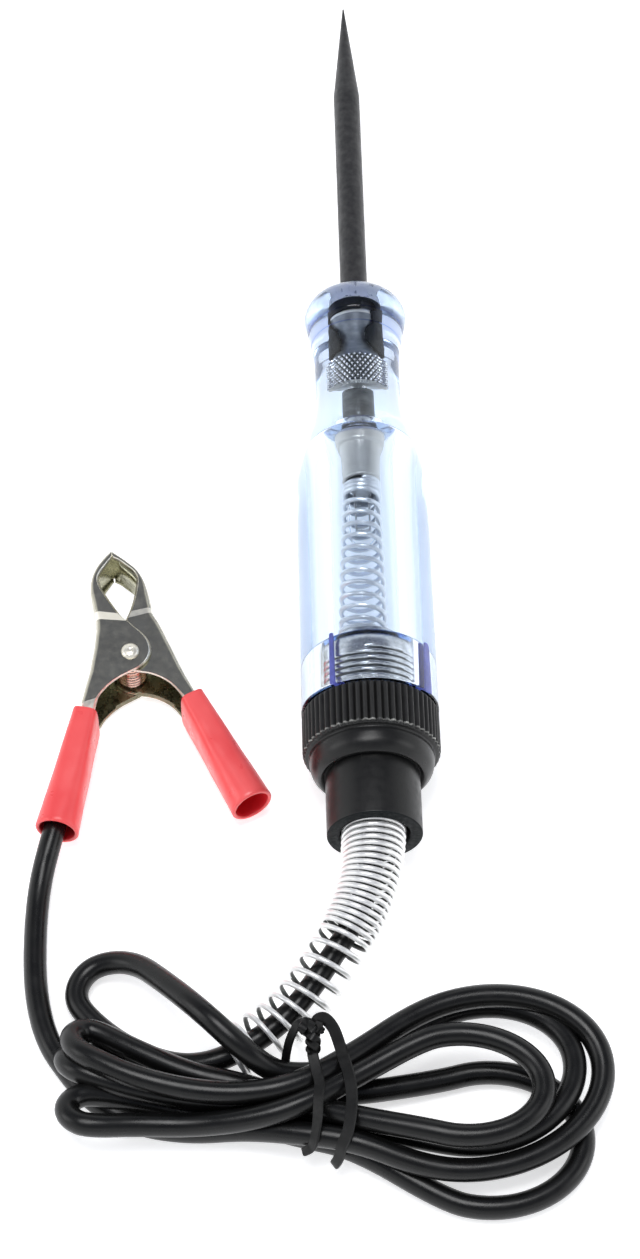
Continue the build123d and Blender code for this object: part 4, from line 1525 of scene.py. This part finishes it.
def lamp_spring():
    """Closed at both ends and open between, a little wider and to one side towards the cap."""
    start, end = BULB_SHELL_END_Y - SPRING_WIRE_R, SPRING_END_Y + SPRING_WIRE_R
    closed_turns, open_turns = 3.0, 11.5
    closed_pitch = 0.72
    open_length = start - end - (closed_turns + 1) * closed_pitch
    turns = closed_turns + open_turns + 1
    places, middles = [], []
    for wound in shares(int(turns * 40)):
        turn = turns * wound
        top_part = min(turn, closed_turns)
        open_part = min(max(turn - closed_turns, 0), open_turns)
        end_part = max(turn - closed_turns - open_turns, 0)
        along = start - (top_part + end_part) * closed_pitch - open_length * open_part / open_turns
        share = (start - along) / (start - end)
        bow = point(SPRING_BOW * share, 0, 0)
        places.append(on_axis(mix(*SPRING_END_R, share), tau * turn, along) - bow)
        middles.append(on_axis(0, 0, along) - bow)
    mesh = wire_mesh("lamp_spring", places, SPRING_WIRE_R)
    made = add_object("lamp_spring", mesh, SPRING_STEEL)
    # Painted light: the wire's faces that look at the coil's axis get the paler PALE_WIRE.
    return line_inner_side(made, middles, WIRE_SIDES, PALE_WIRE)


settle(bulb_shell(), "bulb", "nickel", "bulb_base")
coil = lamp_spring()
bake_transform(coil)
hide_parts("contact_spring")


# ---------------------------------------------------------------- threaded sleeve
THREAD_START_Y = -53.0
THREAD_END_Y = -60.6
THREAD_PITCH = 1.0
THREAD_DEPTH = 0.42
THREAD_BORE_R = 5.25


def threaded_sleeve():
    """Turned sleeve with a plain band at its front and a right-handed thread behind it."""
    outer, inner = outer_radius("threaded_sleeve"), THREAD_BORE_R
    high, low = highest_y("threaded_sleeve"), lowest_y("threaded_sleeve")
    angles = even_angles(96)
    rows = [ring_of(inner, angles, low), ring_of(inner, angles, high)]
    rows += [ring_of(outer - 0.3, angles, high), ring_of(outer, angles, high - 0.3)]
    for share in shares(120):
        along = mix(THREAD_START_Y + 0.6, THREAD_END_Y, share)
        row = []
        for angle in angles:
            run = (along - THREAD_START_Y) / THREAD_PITCH + angle / tau
            fade = clamped(-run * 1.5 + 0.2)
            groove = max(0.0, zigzag(run) * 1.5 - 0.5) ** 0.8
            row.append(on_axis(outer - THREAD_DEPTH * groove * fade, angle, along))
        rows.append(row)
    rows.append(ring_of(outer, angles, low))

    # Painted shade: dark metal in the thread's grooves.
    def in_groove(face):
        return int(inner + 0.1 < reach_of(face) < outer - THREAD_DEPTH * 0.45)

    made = add_object("threaded_sleeve", grid_mesh("threaded_sleeve", rows), NICKEL, sharp=45)
    return paint(made, in_groove, DARK_METAL_AND_SHADE)


settle(threaded_sleeve(), "root", "nickel", "threaded_sleeve")


# ---------------------------------------------------------------- light and floor
def area_light(name, offset, size, power):
    """Rectangular lamp at an offset from the camera's target, and turned to it."""
    data = bpy.data.lights.new(name, "AREA")
    data.shape = "RECTANGLE"
    data.size, data.size_y = size
    data.energy = power
    light = put_in_scene(name, data)
    light.location = CAMERA_TARGET + Vector(offset)
    light.rotation_euler = (-Vector(offset)).to_track_quat("-Z", "Y").to_euler()


def light_horizon(tree):
    """World that is white round the horizon, like a sweep, and dim above."""
    place = add_node(tree, "TexCoord")
    parts = add_node(tree, "SeparateXYZ")
    ramp = colour_ramp(tree, (0.42, (0.96, 0.98, 1.0)), (0.72, (0.19, 0.205, 0.25)))
    ramp.color_ramp.interpolation = "EASE"
    background = tree.nodes["Background"]
    background.inputs["Strength"].default_value = 1.0
    tree.links.new(place.outputs["Generated"], parts.inputs["Vector"])
    tree.links.new(parts.outputs["Z"], ramp.inputs["Fac"])
    tree.links.new(ramp.outputs["Color"], background.inputs["Color"])


def make_stage():
    scene = bpy.context.scene
    scene.view_settings.view_transform = "Standard"
    world = bpy.data.worlds.new("studio")
    world.use_nodes = True
    light_horizon(world.node_tree)
    scene.world = world
    area_light("overhead", (-0.06, -0.05, 0.75), (0.3, 0.4), 2.8)
    area_light("left", (-0.9, -0.1, 0.5), (0.4, 0.6), 1.2)
    area_light("right", (0.9, -0.2, 0.5), (0.4, 0.6), 1.0)
    mesh = bpy.data.meshes.new("floor")
    half = 3.0
    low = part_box("cord_hank")[0].z - 0.1 * MM
    corners = [(-half, -half, low), (half, -half, low), (half, half, low), (-half, half, low)]
    mesh.from_pydata(corners, [], [(0, 1, 2, 3)])
    white = finish(
        "floor",
        (0.92, 0.92, 0.92),
        0.6,
        rough=((0.02, 2), 0.55, 0.65),
        Emission_Color=(1, 1, 1, 1),
        Emission_Strength=0.6,
    )
    mesh.materials.append(white)
    put_in_scene("floor", mesh)


make_stage()
